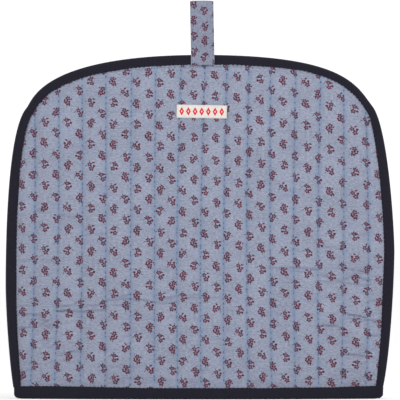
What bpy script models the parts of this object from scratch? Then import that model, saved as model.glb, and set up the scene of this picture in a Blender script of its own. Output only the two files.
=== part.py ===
"""A quilted tea cosy, standing open on its hem.

Metres, +Z up. The front faces -Y. The origin is on the table, in the middle of the footprint.
Two quilted panels are sewn together along an arch. A folded tape covers that seam and stands out
from it as a flat rim. A second tape runs round the open hem, and covers the lower ends of the
first. A strap is folded over the top of the rim to hang the cosy by, and a small label is sewn to
the front.
"""

import math
from collections import namedtuple

import bmesh
import bpy
import numpy as np
from mathutils import Vector
from mathutils.geometry import interpolate_bezier

# Outline of the rim, seen from the front, from the crown down each side to the hem
CROWN = (0.0020, 0.3200)
CROWN_REACH = 0.1300
WIDEST_Z = 0.1280
REACH_ABOVE_WIDEST = 0.0300
REACH_BELOW_WIDEST = 0.0200
REACH_INTO_SHOULDER = 0.0200
REACH_OUT_OF_SHOULDER = 0.0280
REACH_INTO_HEM = 0.0300
POINTS_PER_CURVE = 40
Side = namedtuple("Side", "shoulder_x shoulder_z slope widest_x hem_x lean")
LEFT = Side(-0.1584, 0.2766, 48.0, -0.1815, -0.1708, 12.0)
RIGHT = Side(0.1584, 0.2755, 49.0, 0.1815, 0.1684, 13.0)

# How far the panels stand off the seam plane, and how that fades towards the arch
BULGE = 0.0500
RISE = 1.8
DENTS_START = 0.25
Dent = namedtuple("Dent", "x z half_width half_height depth")
FRONT_DENTS = (
    Dent(-0.105, 0.078, 0.060, 0.022, 0.0022),
    Dent(0.118, 0.112, 0.045, 0.020, 0.0020),
    Dent(0.030, 0.200, 0.070, 0.045, 0.0015),
    Dent(-0.070, 0.235, 0.050, 0.030, -0.0012),
)
BACK_DENTS = (
    Dent(-0.090, 0.150, 0.060, 0.030, 0.0022),
    Dent(0.095, 0.070, 0.060, 0.026, 0.0018),
    Dent(0.050, 0.225, 0.060, 0.035, -0.0012),
)

# Quilting: where each upright row of stitches crosses the top, the middle and the hem
Row = namedtuple("Row", "top middle hem")
STITCH_ROWS = (
    Row(-0.1535, -0.1533, -0.1571),
    Row(-0.1314, -0.1314, -0.1348),
    Row(-0.1096, -0.1092, -0.1110),
    Row(-0.0875, -0.0873, -0.0878),
    Row(-0.0638, -0.0643, -0.0645),
    Row(-0.0414, -0.0421, -0.0422),
    Row(-0.0176, -0.0213, -0.0206),
    Row(0.0047, 0.0006, 0.0009),
    Row(0.0251, 0.0219, 0.0221),
    Row(0.0456, 0.0432, 0.0445),
    Row(0.0655, 0.0649, 0.0661),
    Row(0.0890, 0.0866, 0.0880),
    Row(0.1123, 0.1093, 0.1098),
    Row(0.1335, 0.1331, 0.1311),
    Row(0.1539, 0.1560, 0.1539),
)
ACROSS_CHANNEL = (0.0, 0.18, 0.5, 0.82)
UP_PANEL = (0.0, 0.035, 0.10, 0.20, 0.31, 0.42, 0.53, 0.64, 0.75, 0.85, 0.925, 0.97, 1.0)
SEWN_THICKNESS = 0.0020
OUTER_PUFF = 0.0019
INNER_PUFF = 0.0010
PUFF_ROUNDNESS = 0.7
PUFF_FADE = 0.0140

# Cloth pieces that lie on each other are this far apart
CLEARANCE = 0.0003
# Points nearer than this are one point
SAME_PLACE = CLEARANCE / 10

# Folded tapes
TAPE = 0.0010
SEAM_WIDTH = 0.0094
SEAM_WIDTH_AT_HEM = 0.0050
FULL_WIDTH_Z = 0.0950
WIDTH_CURVE = 0.75
RAW_EDGE_INSET = 0.0026
CHANNEL_END = 0.0010
STACK_HALF = SEWN_THICKNESS + CLEARANCE / 2
CHANNEL_HALF = STACK_HALF + CLEARANCE
RIM_HALF = CHANNEL_HALF + TAPE
# Distance of a sewn-down panel's middle from the seam plane
FLAT = STACK_HALF - SEWN_THICKNESS / 2
LIP_ROUND = 0.0006
# Rounding of the rim's outer edge, as shares of its half thickness: (depth, offset)
NOSE = ((0.0, 0.0), (0.09, 0.44), (0.38, 0.80), (0.95, 1.0))
RIM_STATIONS = 84
HEM_HEIGHT = 0.0104
HEM_TIPS = (-0.1724, 0.1712)
HEM_ROUND = 0.0005
HEM_FOOT_ROUND = 0.0013
HEM_TIP_LIFT = 0.0022
HEM_STATIONS = 40
TIP_ANGLES = (60.0, 30.0, 0.0)
TIP_SQUARENESS = 0.6
GROOVE_SQUARENESS = 0.4
GROOVE_INSET = 0.0013
CROTCH_STEPS = 30
RAW_HEM_Z = TAPE + 2 * CLEARANCE

# Hanging loop
LOOP_X = 0.0021
LOOP_WIDTH = 0.0212
LOOP_FLARE = 0.0006
LOOP_CLOTH = 0.0016
LOOP_TOP = 0.3695
LOOP_FOOT = 0.3102
LOOP_CROWN_HALF = 0.0034
LOOP_REACH = 0.0160
LOOP_BEND_ANGLES = (60.0, 30.0, 0.0)
LOOP_EDGE_ROUND = 0.0004
LOOP_STATIONS = 12

# Label
LABEL_X = 0.0016
LABEL_Z = 0.2669
LABEL_LENGTH = 0.0467
LABEL_HEIGHT = 0.0126
LABEL_CLOTH = 0.0006
LABEL_TURN = -1.0
LABEL_CELLS = (10, 3)


def clear_scene():
    for old in list(bpy.data.objects):
        bpy.data.objects.remove(old, do_unlink=True)


def material(name, colour, roughness):
    made = bpy.data.materials.new(name)
    made.use_nodes = True
    shader = made.node_tree.nodes["Principled BSDF"]
    shader.inputs["Base Color"].default_value = (*colour, 1.0)
    shader.inputs["Roughness"].default_value = roughness
    shader.inputs["Metallic"].default_value = 0.0
    made.diffuse_color = (*colour, 1.0)
    return made


def smooth(value):
    """0 to 1 with level ends."""
    value = min(max(value, 0.0), 1.0)
    return value * value * (3.0 - 2.0 * value)


def half_outline(side):
    """Points (x, z) of the rim's outer edge from the crown to the hem on one side."""
    out = math.copysign(1.0, side.widest_x)
    slope, lean = math.radians(side.slope), math.radians(side.lean)
    down = Vector((out * math.cos(slope), -math.sin(slope)))
    up_from_hem = Vector((out * math.sin(lean), math.cos(lean)))
    crown = Vector(CROWN)
    shoulder = Vector((side.shoulder_x, side.shoulder_z))
    widest = Vector((side.widest_x, WIDEST_Z))
    hem = Vector((side.hem_x, 0.0))
    from_crown = crown + Vector((out * CROWN_REACH, 0.0))
    above_widest = widest + Vector((0.0, REACH_ABOVE_WIDEST))
    below_widest = widest - Vector((0.0, REACH_BELOW_WIDEST))
    curves = (
        (crown, from_crown, shoulder - down * REACH_INTO_SHOULDER, shoulder),
        (shoulder, shoulder + down * REACH_OUT_OF_SHOULDER, above_widest, widest),
        (widest, below_widest, hem + up_from_hem * REACH_INTO_HEM, hem),
    )
    points = [crown]
    for curve in curves:
        points += interpolate_bezier(*curve, POINTS_PER_CURVE)[1:]
    return np.array([(point.x, point.y) for point in points])


def seam_width(z):
    """Width of the rim at a height. It narrows where the side seam turns under the hem."""
    share = min(max(z, 0.0) / FULL_WIDTH_Z, 1.0) ** WIDTH_CURVE
    return SEAM_WIDTH_AT_HEM + (SEAM_WIDTH - SEAM_WIDTH_AT_HEM) * share


def inward_normals(points):
    """Unit vectors to the left of the walk along the points, which here is into the panel."""
    along = np.gradient(points, axis=0)
    along /= np.linalg.norm(along, axis=1)[:, None]
    return np.column_stack((along[:, 1], -along[:, 0]))


def evenly_spaced(points, count):
    steps = np.linalg.norm(np.diff(points, axis=0), axis=1)
    walked = np.concatenate(((0.0,), np.cumsum(steps)))
    at = np.linspace(0.0, walked[-1], count)
    return np.column_stack([np.interp(at, walked, points[:, axis]) for axis in (0, 1)])


LEFT_HALF, RIGHT_HALF = half_outline(LEFT), half_outline(RIGHT)
# From the left hem corner over the crown to the right one
OUTLINE = np.vstack((LEFT_HALF[::-1], RIGHT_HALF[1:]))
INTO_PANEL = inward_normals(OUTLINE)
WIDTHS = np.array([seam_width(z) for z in OUTLINE[:, 1]])
SEW_LINE = OUTLINE + INTO_PANEL * WIDTHS[:, None]
CROWN_INDEX = int(np.argmax(SEW_LINE[:, 1]))
ARCH = SEW_LINE[SEW_LINE[:, 1] > WIDEST_Z]


def arch_z(x):
    """Height of the sewing line over a point of the panel."""
    return float(np.interp(x, ARCH[:, 0], ARCH[:, 1]))


def side_x(z, out):
    """Where the sewing line stands at a height, on the left (out -1) or the right (out 1)."""
    half = SEW_LINE[: CROWN_INDEX + 1] if out < 0 else SEW_LINE[CROWN_INDEX:][::-1]
    return float(np.interp(z, half[:, 1], half[:, 0]))


def dent_at(x, z, dents):
    total = 0.0
    for dent in dents:
        away = math.hypot((x - dent.x) / dent.half_width, (z - dent.z) / dent.half_height)
        total += dent.depth * smooth(1.0 - away / 2)
    return total


def stand_off(x, z, dents):
    """Distance of the panel's middle from the seam plane.

    Across the panel it is a shallow arc, and up the panel it closes towards the arch. Where both
    fade, at the shoulders, this mix of the two still opens at once from the seam.
    """
    edge = side_x(z, math.copysign(1.0, x))
    across = max(1.0 - (x / edge) ** 2, 0.0)
    up = max(1.0 - (max(z, 0.0) / arch_z(x)) ** RISE, 0.0)
    mix = across * up / max(across + up - across * up, SAME_PLACE)
    dent = dent_at(x, z, dents) * smooth(mix / DENTS_START)
    return FLAT + BULGE * mix - dent


def row_x(row, up):
    """Place of a stitch row at a share of its height: a curve through its three points."""
    low, high = (1.0 - up) * (1.0 - 2.0 * up), up * (2.0 * up - 1.0)
    return low * row.hem + 4.0 * up * (1.0 - up) * row.middle + high * row.top


def between(a, b, share):
    return a + (b - a) * share


def channel_point(channel, share, up):
    """(x, z) in a channel, from the stitch row at its left to the one at its right.

    Channel -1 lies outside the first row, and the last channel outside the last row. There the
    sewing line takes the place of the missing row.
    """
    rows = len(STITCH_ROWS)
    if 0 <= channel < rows - 1:
        x = between(row_x(STITCH_ROWS[channel], up), row_x(STITCH_ROWS[channel + 1], up), share)
        top_x = between(STITCH_ROWS[channel].top, STITCH_ROWS[channel + 1].top, share)
        return x, between(HEM_HEIGHT, arch_z(top_x), up)
    row = STITCH_ROWS[0] if channel < 0 else STITCH_ROWS[-1]
    z = between(HEM_HEIGHT, arch_z(row.top), up)
    if channel < 0:
        return between(side_x(z, -1.0), row_x(row, up), share), z
    return between(row_x(row, up), side_x(z, 1.0), share), z


def to_outline(x, z):
    """The nearest point of the rim's outer edge."""
    here = np.array((x, z))
    legs = OUTLINE[1:] - OUTLINE[:-1]
    shares = np.clip(((here - OUTLINE[:-1]) * legs).sum(axis=1) / (legs**2).sum(axis=1), 0.0, 1.0)
    feet = OUTLINE[:-1] + legs * shares[:, None]
    return feet[np.argmin(np.linalg.norm(feet - here, axis=1))]


def raw_edge(x, z):
    """Where a point of the sewing line continues to, at the panel's cut edge inside the tapes.

    The hem goes straight down, so the allowance is trimmed across at its two corners.
    """
    if z < HEM_HEIGHT + SAME_PLACE:
        return x, RAW_HEM_Z
    foot = to_outline(x, z)
    outwards = foot - np.array((x, z))
    foot = foot - outwards / np.linalg.norm(outwards) * RAW_EDGE_INSET
    return foot[0], foot[1]


def fill_grid(mesh, points):
    """Square faces between the rows of a grid of corner points."""
    made = [[mesh.verts.new(point) for point in line] for line in points]
    for lower, upper in zip(made, made[1:]):
        for i in range(len(lower) - 1):
            mesh.faces.new((lower[i], lower[i + 1], upper[i + 1], upper[i]))
    return made


def thick_cloth(sheet, half_outside, half_inside, keep_off=0.0):
    """A closed solid from a thin sheet, whose two faces lie at their own distances from it."""
    sheet.normal_update()
    solid = bmesh.new()
    outer, inner = {}, {}
    for vert in sheet.verts:
        outside = vert.co + vert.normal * half_outside(vert)
        inside = vert.co - vert.normal * half_inside(vert)
        if keep_off:
            inside.y = math.copysign(max(abs(inside.y), keep_off), vert.co.y)
        outer[vert], inner[vert] = solid.verts.new(outside), solid.verts.new(inside)
    for face in sheet.faces:
        solid.faces.new([outer[vert] for vert in face.verts])
        solid.faces.new([inner[vert] for vert in reversed(face.verts)])
    for edge in sheet.edges:
        if edge.is_boundary:
            first, second = edge.verts
            solid.faces.new((outer[first], inner[first], inner[second], outer[second]))
    sheet.free()
    return solid


def finish(name, solid, surface, parent, sharp_degrees=40.0):
    """Makes the object of a closed bmesh, with its faces out and its round parts smooth."""
    bmesh.ops.recalc_face_normals(solid, faces=solid.faces)
    data = bpy.data.meshes.new(name)
    solid.to_mesh(data)
    solid.free()
    data.shade_smooth()
    data.set_sharp_from_angle(angle=math.radians(sharp_degrees))
    data.materials.append(surface)
    made = bpy.data.objects.new(name, data)
    made.parent = parent
    bpy.context.scene.collection.objects.link(made)
    return made


def panel(name, facing, dents, surface, parent):
    """One quilted panel. facing is -1 for the front and 1 for the back."""
    columns = [(channel, share) for channel in range(-1, len(STITCH_ROWS)) for share in ACROSS_CHANNEL]
    columns.append((len(STITCH_ROWS) - 1, 1.0))
    sheet = bmesh.new()
    fullness = sheet.verts.layers.float.new("fullness")
    points = []
    for up in UP_PANEL:
        line = [channel_point(channel, share, up) for channel, share in columns]
        points.append([(x, facing * stand_off(x, z, dents), z) for x, z in line])
    made = fill_grid(sheet, points)
    for line in made:
        for vert, (_, share) in zip(line, columns):
            over = arch_z(vert.co.x) - vert.co.z
            fade = smooth(min(over, vert.co.z - HEM_HEIGHT) / PUFF_FADE)
            vert[fullness] = fade * math.sin(math.pi * share) ** PUFF_ROUNDNESS
    bmesh.ops.remove_doubles(sheet, verts=sheet.verts, dist=SAME_PLACE)

    rim = [edge for edge in sheet.edges if edge.is_boundary]
    band = bmesh.ops.extrude_edge_only(sheet, edges=rim)["geom"]
    for vert in [item for item in band if isinstance(item, bmesh.types.BMVert)]:
        vert.co.x, vert.co.z = raw_edge(vert.co.x, vert.co.z)
        vert[fullness] = 0.0
    bmesh.ops.recalc_face_normals(sheet, faces=sheet.faces)
    sheet.faces.ensure_lookup_table()
    if sheet.faces[0].normal.y * facing < 0.0:
        bmesh.ops.reverse_faces(sheet, faces=sheet.faces)

    half = SEWN_THICKNESS / 2
    solid = thick_cloth(
        sheet,
        lambda vert: half + OUTER_PUFF * vert[fullness],
        lambda vert: half + INNER_PUFF * vert[fullness],
        keep_off=CLEARANCE / 2,
    )
    return finish(name, solid, surface, parent)


def swept(sections, joined_ends):
    """A closed solid through a row of sections, each a ring of points in the same order."""
    solid = bmesh.new()
    rings = [[solid.verts.new(point) for point in section] for section in sections]
    followers = rings[1:] + rings[:1] if joined_ends else rings[1:]
    for ring, after in zip(rings, followers):
        for i in range(len(ring)):
            j = (i + 1) % len(ring)
            solid.faces.new((ring[i], ring[j], after[j], after[i]))
    if not joined_ends:
        solid.faces.new(rings[0])
        solid.faces.new(reversed(rings[-1]))
    return solid


def mirrored(half):
    """A section from its outer half (depth, offset), the nose first and the other side last."""
    return half + [(depth, -offset) for depth, offset in reversed(half[1:])]


def rim_section(width):
    """Section of the folded tape: (depth from the outer edge, offset from the seam plane)."""
    nose = [(depth * RIM_HALF, offset * RIM_HALF) for depth, offset in NOSE]
    lip = [
        (width - LIP_ROUND, RIM_HALF),
        (width, RIM_HALF - LIP_ROUND),
        (width, CHANNEL_HALF),
        (CHANNEL_END, CHANNEL_HALF),
    ]
    return mirrored(nose + lip)


def seam_binding(surface, parent):
    """The tape over the two raw edges, from above the hem tape on the left to the right."""
    above = HEM_HEIGHT + CLEARANCE
    kept = OUTLINE[OUTLINE[:, 1] > above]
    ends = []
    for corner in (LEFT_HALF[::-1], RIGHT_HALF[::-1]):
        ends.append((float(np.interp(above, corner[:, 1], corner[:, 0])), above))
    path = evenly_spaced(np.vstack((ends[:1], kept, ends[1:])), RIM_STATIONS)
    inwards = inward_normals(path)
    # The ends are cut level, so that they meet the hem tape all along
    inwards[0], inwards[-1] = (1.0, 0.0), (-1.0, 0.0)
    sections = []
    for (x, z), (inwards_x, inwards_z) in zip(path, inwards):
        width = seam_width(z) - CLEARANCE
        section = rim_section(width)
        sections.append([(x + inwards_x * depth, y, z + inwards_z * depth) for depth, y in section])
    return finish("seam_binding", swept(sections, joined_ends=False), surface, parent)


def hem_arc(x, offset):
    """Distance from the seam plane of a line that keeps its offset to the panel at the hem."""
    step = CLEARANCE
    lower, upper = (stand_off(at, HEM_HEIGHT, ()) for at in (x - step, x + step))
    slope = (upper - lower) / (2 * step)
    return stand_off(x, HEM_HEIGHT, ()) + offset * math.hypot(1.0, slope)


def outer_hem_line(offset, inset, squareness):
    """Front half of a plan line outside the panel, from its left tip to its right one.

    It follows the panel as far as the sewing line and then turns round the raw edges in a nose.
    inset is how far the nose stays inside the tape's own tips.
    """
    ends = [side_x(HEM_HEIGHT, out) for out in (-1.0, 1.0)]
    points = [(x, hem_arc(x, offset)) for x in np.linspace(*ends, HEM_STATIONS + 1)]
    half = FLAT + offset
    for index, tip in enumerate(HEM_TIPS):
        out = math.copysign(1.0, tip)
        nose = []
        for angle in map(math.radians, TIP_ANGLES):
            reach = tip - out * (inset + half * squareness * (1.0 - math.cos(angle)))
            nose.append((reach, half * math.sin(angle) ** squareness))
        points = nose[::-1] + points if index == 0 else points + nose
    return points


def crotch_x(offset, out):
    """Where a line at this offset inside the front panel meets the one inside the back panel."""
    inside, outside = 0.0, side_x(HEM_HEIGHT, out)
    for _ in range(CROTCH_STEPS):
        middle = (inside + outside) / 2
        if hem_arc(middle, offset) > 0.0:
            inside = middle
        else:
            outside = middle
    return inside


def inner_hem_line(offset, outer_line):
    """Front half of a plan line inside the panel, with a point for each one of the outer line."""
    left, right = outer_line[0][0], outer_line[-1][0]
    ends = crotch_x(offset, -1.0), crotch_x(offset, 1.0)
    points = []
    for x, _ in outer_line[1:-1]:
        inner_x = x * (ends[0] / left if x < 0.0 else ends[1] / right)
        points.append((inner_x, hem_arc(inner_x, offset)))
    return [(ends[0], 0.0), *points, (ends[1], 0.0)]


def closed_line(front):
    """A whole plan line from its front half: the back mirrors it."""
    back = [(x, -y) for x, y in reversed(front[1:-1])]
    return [(x, -y) for x, y in front] + [(x, -y) for x, y in back]


def hem_binding(surface, parent):
    """The tape round the opening: a ring with a groove on top that holds the panels' hems."""
    clear = SEWN_THICKNESS / 2 + CLEARANCE
    wall = clear + TAPE
    outside = (
        (wall - HEM_ROUND, HEM_ROUND, HEM_HEIGHT),
        (wall, 0.0, HEM_HEIGHT - HEM_ROUND),
        (wall, 0.0, HEM_TIP_LIFT),
        (wall - HEM_FOOT_ROUND, HEM_TIP_LIFT, 0.0),
    )
    levels = []
    for offset, inset, z in outside:
        front = outer_hem_line(offset, inset, TIP_SQUARENESS)
        levels.append((closed_line(front), z))
    inside = (
        (wall - HEM_FOOT_ROUND, 0.0),
        (wall, HEM_TIP_LIFT),
        (wall, HEM_HEIGHT - HEM_ROUND),
        (wall - HEM_ROUND, HEM_HEIGHT),
        (clear, HEM_HEIGHT),
        (clear, TAPE),
    )
    levels += [(closed_line(inner_hem_line(-offset, front)), z) for offset, z in inside]
    groove = closed_line(outer_hem_line(clear, GROOVE_INSET, GROOVE_SQUARENESS))
    levels += [(groove, TAPE), (groove, HEM_HEIGHT)]
    sections = [[(*line[i], z) for line, z in levels] for i in range(len(levels[0][0]))]
    return finish("hem_binding", swept(sections, joined_ends=True), surface, parent)


def loop_path():
    """Middle of the strap in the plane across the rim, as (y, z), up the front and down the back."""
    half = RIM_HALF + CLEARANCE + LOOP_CLOTH / 2
    foot = Vector((-half, LOOP_FOOT))
    hip = Vector((-half, CROWN[1] + LOOP_CLOTH))
    top = Vector((0.0, LOOP_TOP - LOOP_CLOTH / 2))
    shoulder = Vector((-LOOP_CROWN_HALF, top.y - LOOP_CROWN_HALF))
    reach = Vector((0.0, LOOP_REACH))
    rise = interpolate_bezier(hip, hip + reach, shoulder - reach, shoulder, LOOP_STATIONS)
    bend = [
        top + Vector((-math.sin(angle), math.cos(angle) - 1.0)) * LOOP_CROWN_HALF
        for angle in map(math.radians, LOOP_BEND_ANGLES)
    ]
    front = [foot, foot.lerp(hip, 0.5), *rise, *bend]
    back = [Vector((-point.x, point.y)) for point in reversed(front[:-1])]
    return front + back


def strap_section(width, cloth):
    """(along X, across the strap), with softened corners."""
    x, y, cut = width / 2, cloth / 2, LOOP_EDGE_ROUND
    corner = [(x, y - cut), (x - cut, y)]
    quarter = [(-px, py) for px, py in reversed(corner)]
    return corner + quarter + [(-px, -py) for px, py in corner + quarter]


def hanging_loop(surface, parent):
    path = loop_path()
    sections = []
    for i, here in enumerate(path):
        ahead, behind = path[min(i + 1, len(path) - 1)], path[max(i - 1, 0)]
        along = (ahead - behind).normalized()
        across = Vector((-along.y, along.x))
        flare = LOOP_FLARE * smooth((CROWN[1] - here.y) / (CROWN[1] - LOOP_FOOT))
        section = strap_section(LOOP_WIDTH + flare, LOOP_CLOTH)
        sections.append(
            [(LOOP_X + x, here.x + across.x * y, here.y + across.y * y) for x, y in section]
        )
    return finish("hanging_loop", swept(sections, joined_ends=False), surface, parent, 50.0)


def label(surface, parent):
    """A strip that lies over the crowns of the channels, turned a little."""
    turn = math.radians(LABEL_TURN)
    lift = SEWN_THICKNESS / 2 + OUTER_PUFF + CLEARANCE + LABEL_CLOTH / 2
    points = []
    for v in np.linspace(-0.5, 0.5, LABEL_CELLS[1] + 1) * LABEL_HEIGHT:
        line = []
        for u in np.linspace(-0.5, 0.5, LABEL_CELLS[0] + 1) * LABEL_LENGTH:
            x = LABEL_X + u * math.cos(turn) - v * math.sin(turn)
            z = LABEL_Z + u * math.sin(turn) + v * math.cos(turn)
            line.append((x, -stand_off(x, z, FRONT_DENTS) - lift, z))
        points.append(line)
    sheet = bmesh.new()
    fill_grid(sheet, points)
    solid = thick_cloth(sheet, lambda vert: LABEL_CLOTH / 2, lambda vert: LABEL_CLOTH / 2)
    return finish("label", solid, surface, parent)


def main():
    clear_scene()
    cosy = bpy.data.objects.new("tea_cosy", None)
    bpy.context.scene.collection.objects.link(cosy)
    print_cotton = material("printed_cotton", (0.34, 0.38, 0.48), 0.9)
    navy_tape = material("navy_tape", (0.018, 0.017, 0.026), 0.85)
    cream_tape = material("cream_tape", (0.80, 0.74, 0.66), 0.8)
    panel("panel_front", -1.0, FRONT_DENTS, print_cotton, cosy)
    panel("panel_back", 1.0, BACK_DENTS, print_cotton, cosy)
    seam_binding(navy_tape, cosy)
    hem_binding(navy_tape, cosy)
    hanging_loop(print_cotton, cosy)
    label(cream_tape, cosy)


main()
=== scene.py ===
# %% [markdown]
# # Dressing a quilted tea cosy
#
# A tea cosy is a padded cloth cover that stands open on its hem over a pot. This one is two
# quilted panels of printed cotton, a folded navy tape over the arched seam, a second one round
# the hem, a printed hanging loop and a small woven label. The model in the frame already has the
# right sizes. This lesson gives each piece its cloth: relief, folds, stitches, print and weave.

# %% Load the frame
import math
from collections import namedtuple

import bmesh
import bpy
import numpy as np
from mathutils import Matrix, Vector
from mathutils.geometry import interpolate_bezier


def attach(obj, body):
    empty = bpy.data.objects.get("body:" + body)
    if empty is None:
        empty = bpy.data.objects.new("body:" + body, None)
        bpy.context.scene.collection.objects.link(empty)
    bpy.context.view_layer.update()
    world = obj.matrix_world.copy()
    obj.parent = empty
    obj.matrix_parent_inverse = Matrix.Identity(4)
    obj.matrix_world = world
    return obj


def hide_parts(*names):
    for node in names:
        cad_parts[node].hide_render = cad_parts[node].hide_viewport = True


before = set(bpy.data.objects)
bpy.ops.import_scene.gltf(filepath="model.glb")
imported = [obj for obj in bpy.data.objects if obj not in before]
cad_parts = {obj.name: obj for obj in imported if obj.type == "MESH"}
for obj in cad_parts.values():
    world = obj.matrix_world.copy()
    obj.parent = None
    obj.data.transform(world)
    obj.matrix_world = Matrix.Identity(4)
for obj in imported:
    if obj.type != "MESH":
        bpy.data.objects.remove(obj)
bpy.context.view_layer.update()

MM = 0.001

# %% [markdown]
# ## Camera, floor and light
#
# The cosy is shown face on, as in a catalogue: no lines converge and the hem is straight. A
# camera that stands a few metres off with an ordinary lens would look down on the hem. A very
# long lens fifteen metres away flattens the view, and the camera stays an ordinary one.

# %% Camera
VIEW_WIDTH = 0.3720
VIEW_MIDDLE_Z = 0.1848
CAMERA_AWAY = 15.0
SENSOR = 36.0
SEES_AS_FAR_AS = 100.0

eye = bpy.data.objects.new("camera", bpy.data.cameras.new("camera"))
eye.data.sensor_width = SENSOR
eye.data.lens = SENSOR * CAMERA_AWAY / VIEW_WIDTH
eye.data.clip_end = SEES_AS_FAR_AS
eye.location = (0.0, -CAMERA_AWAY, VIEW_MIDDLE_Z)
eye.rotation_euler = (math.pi / 2, 0.0, 0.0)
bpy.context.scene.collection.objects.link(eye)
bpy.context.scene.camera = eye
print("lens", round(eye.data.lens), "mm")

# %% [markdown]
# A white world lights the cosy evenly from all round, and the pale floor sends some of it back
# up. One soft lamp stands in front, high and a little to the right, so creases get a shaded side.
# The Standard view transform keeps the colours as they are mixed.

# %% Floor, world and lamp
FLOOR_SIZE = 60.0
FLOOR_COLOUR = (0.92, 0.92, 0.92, 1.0)
FLOOR_ROUGHNESS = 0.9
WORLD_STRENGTH = 1.07
LAMP_PLACE = Vector((0.50, -2.6, 1.70))
LAMP_SIZE = 0.8
LAMP_WATTS = 32.0
LAMP_AIM = Vector((0.0, 0.0, 0.17))


def link(piece):
    bpy.context.scene.collection.objects.link(piece)
    return piece


def as_mesh(shape, name):
    """The finished shape as a mesh."""
    data = bpy.data.meshes.new(name)
    shape.to_mesh(data)
    shape.free()
    return data


def make_stage():
    shape = bmesh.new()
    bmesh.ops.create_grid(shape, x_segments=1, y_segments=1, size=FLOOR_SIZE / 2)
    data = as_mesh(shape, "floor")
    floor = link(bpy.data.objects.new("floor", data))
    paint = bpy.data.materials.new("pale_floor")
    paint.use_nodes = True
    shader = paint.node_tree.nodes["Principled BSDF"]
    shader.inputs["Base Color"].default_value = FLOOR_COLOUR
    shader.inputs["Roughness"].default_value = FLOOR_ROUGHNESS
    data.materials.append(paint)


def make_lights():
    world = bpy.data.worlds.new("white_room")
    world.use_nodes = True
    back = world.node_tree.nodes["Background"]
    back.inputs["Color"].default_value = (1.0, 1.0, 1.0, 1.0)
    back.inputs["Strength"].default_value = WORLD_STRENGTH
    bpy.context.scene.world = world
    lamp = bpy.data.lights.new("soft_lamp", "AREA")
    lamp.shape = "SQUARE"
    lamp.size = LAMP_SIZE
    lamp.energy = LAMP_WATTS
    held = link(bpy.data.objects.new("soft_lamp", lamp))
    held.location = LAMP_PLACE
    held.rotation_euler = (LAMP_AIM - LAMP_PLACE).to_track_quat("-Z", "Y").to_euler()


make_stage()
make_lights()
bpy.context.scene.view_settings.view_transform = "Standard"
bpy.context.scene.view_settings.look = "None"
print("a floor", FLOOR_SIZE, "m wide, and a lamp of", LAMP_WATTS, "W")

# %% [markdown]
# ## The sewn form
#
# Every piece of cloth here follows the same few lines: the arched outer edge, the sewing line
# inside it, and how far the panels stand off the plane between them. They are worked out from
# the maker's own measures, so that the finished cloth lies within a millimetre of the plain
# model. The outer edge of one side is three Bezier curves: over the crown to the shoulder, on to
# the widest place, and down to the hem. Slopes are in degrees, and the rim's width is given in
# millimetres at angles round a centre, counted from the crown.

# %% Measures of the outline
CROWN = (0.0020, 0.3198)
POINTS_PER_CURVE = 80
Side = namedtuple("Side", "crown_reach into_shoulder shoulder_x shoulder_z slope out_of_shoulder "
                  "above_widest widest_x widest_z below_widest into_hem hem_x lean")
LEFT = Side(
    crown_reach=0.1520, into_shoulder=0.0085, shoulder_x=-0.1615, shoulder_z=0.2703, slope=48.4,
    out_of_shoulder=0.0278, above_widest=0.0318, widest_x=-0.1808, widest_z=0.1064,
    below_widest=0.0235, into_hem=0.0269, hem_x=-0.1719, lean=11.5,
)
RIGHT = Side(
    crown_reach=0.1327, into_shoulder=0.0255, shoulder_x=0.1606, shoulder_z=0.2718, slope=52.9,
    out_of_shoulder=0.0243, above_widest=0.0204, widest_x=0.1809, widest_z=0.1362,
    below_widest=0.0129, into_hem=0.0334, hem_x=0.1676, lean=17.8,
)
RIM_CENTRE = (0.0, 0.1200)
TAPE_WIDTHS = (
    (-125, 6.2), (-119, 8.2), (-104, 9.4), (-92, 9.9), (-68, 9.1), (-46, 8.1), (-34, 8.9),
    (-5, 9.1), (17, 8.5), (26, 7.4), (39, 7.5), (45, 6.7), (56, 8.3), (78, 9.5), (97, 9.7),
    (110, 8.6), (119, 7.7), (125, 6.2),
)
CLEARANCE = 0.0003
ARCH_FROM_Z = 0.1400


def smooth(value):
    """0 to 1 with level ends."""
    value = np.clip(value, 0.0, 1.0)
    return value * value * (3.0 - 2.0 * value)


def half_outline(side):
    """Points (x, z) of the outer edge from the crown to the hem on one side."""
    out = math.copysign(1.0, side.widest_x)
    slope, lean = math.radians(side.slope), math.radians(side.lean)
    down = Vector((out * math.cos(slope), -math.sin(slope)))
    up_from_hem = Vector((out * math.sin(lean), math.cos(lean)))
    crown = Vector(CROWN)
    shoulder = Vector((side.shoulder_x, side.shoulder_z))
    widest = Vector((side.widest_x, side.widest_z))
    hem = Vector((side.hem_x, 0.0))
    from_crown = crown + Vector((out * side.crown_reach, 0.0))
    above_widest = widest + Vector((0.0, side.above_widest))
    below_widest = widest - Vector((0.0, side.below_widest))
    curves = (
        (crown, from_crown, shoulder - down * side.into_shoulder, shoulder),
        (shoulder, shoulder + down * side.out_of_shoulder, above_widest, widest),
        (widest, below_widest, hem + up_from_hem * side.into_hem, hem),
    )
    points = [crown]
    for curve in curves:
        points += interpolate_bezier(*curve, POINTS_PER_CURVE)[1:]
    return np.array([(point.x, point.y) for point in points])


def tape_width(points):
    """Width of the taped rim beside points of the outer edge. It was pinned by eye, so it varies."""
    angles, widths = np.array(TAPE_WIDTHS).T
    x, z = np.asarray(points)[..., 0] - RIM_CENTRE[0], np.asarray(points)[..., 1] - RIM_CENTRE[1]
    return np.interp(np.degrees(np.arctan2(x, z)), angles, widths) * MM


def inward_normals(points):
    """Unit vectors to the left of the walk along the points, which here is into the panel."""
    along = np.gradient(points, axis=0)
    along /= np.linalg.norm(along, axis=1)[:, None]
    return np.column_stack((along[:, 1], -along[:, 0]))


def walked_along(points):
    """Distance walked from the first point to each one."""
    steps = np.linalg.norm(np.diff(points, axis=0), axis=1)
    return np.concatenate(((0.0,), np.cumsum(steps)))


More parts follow.
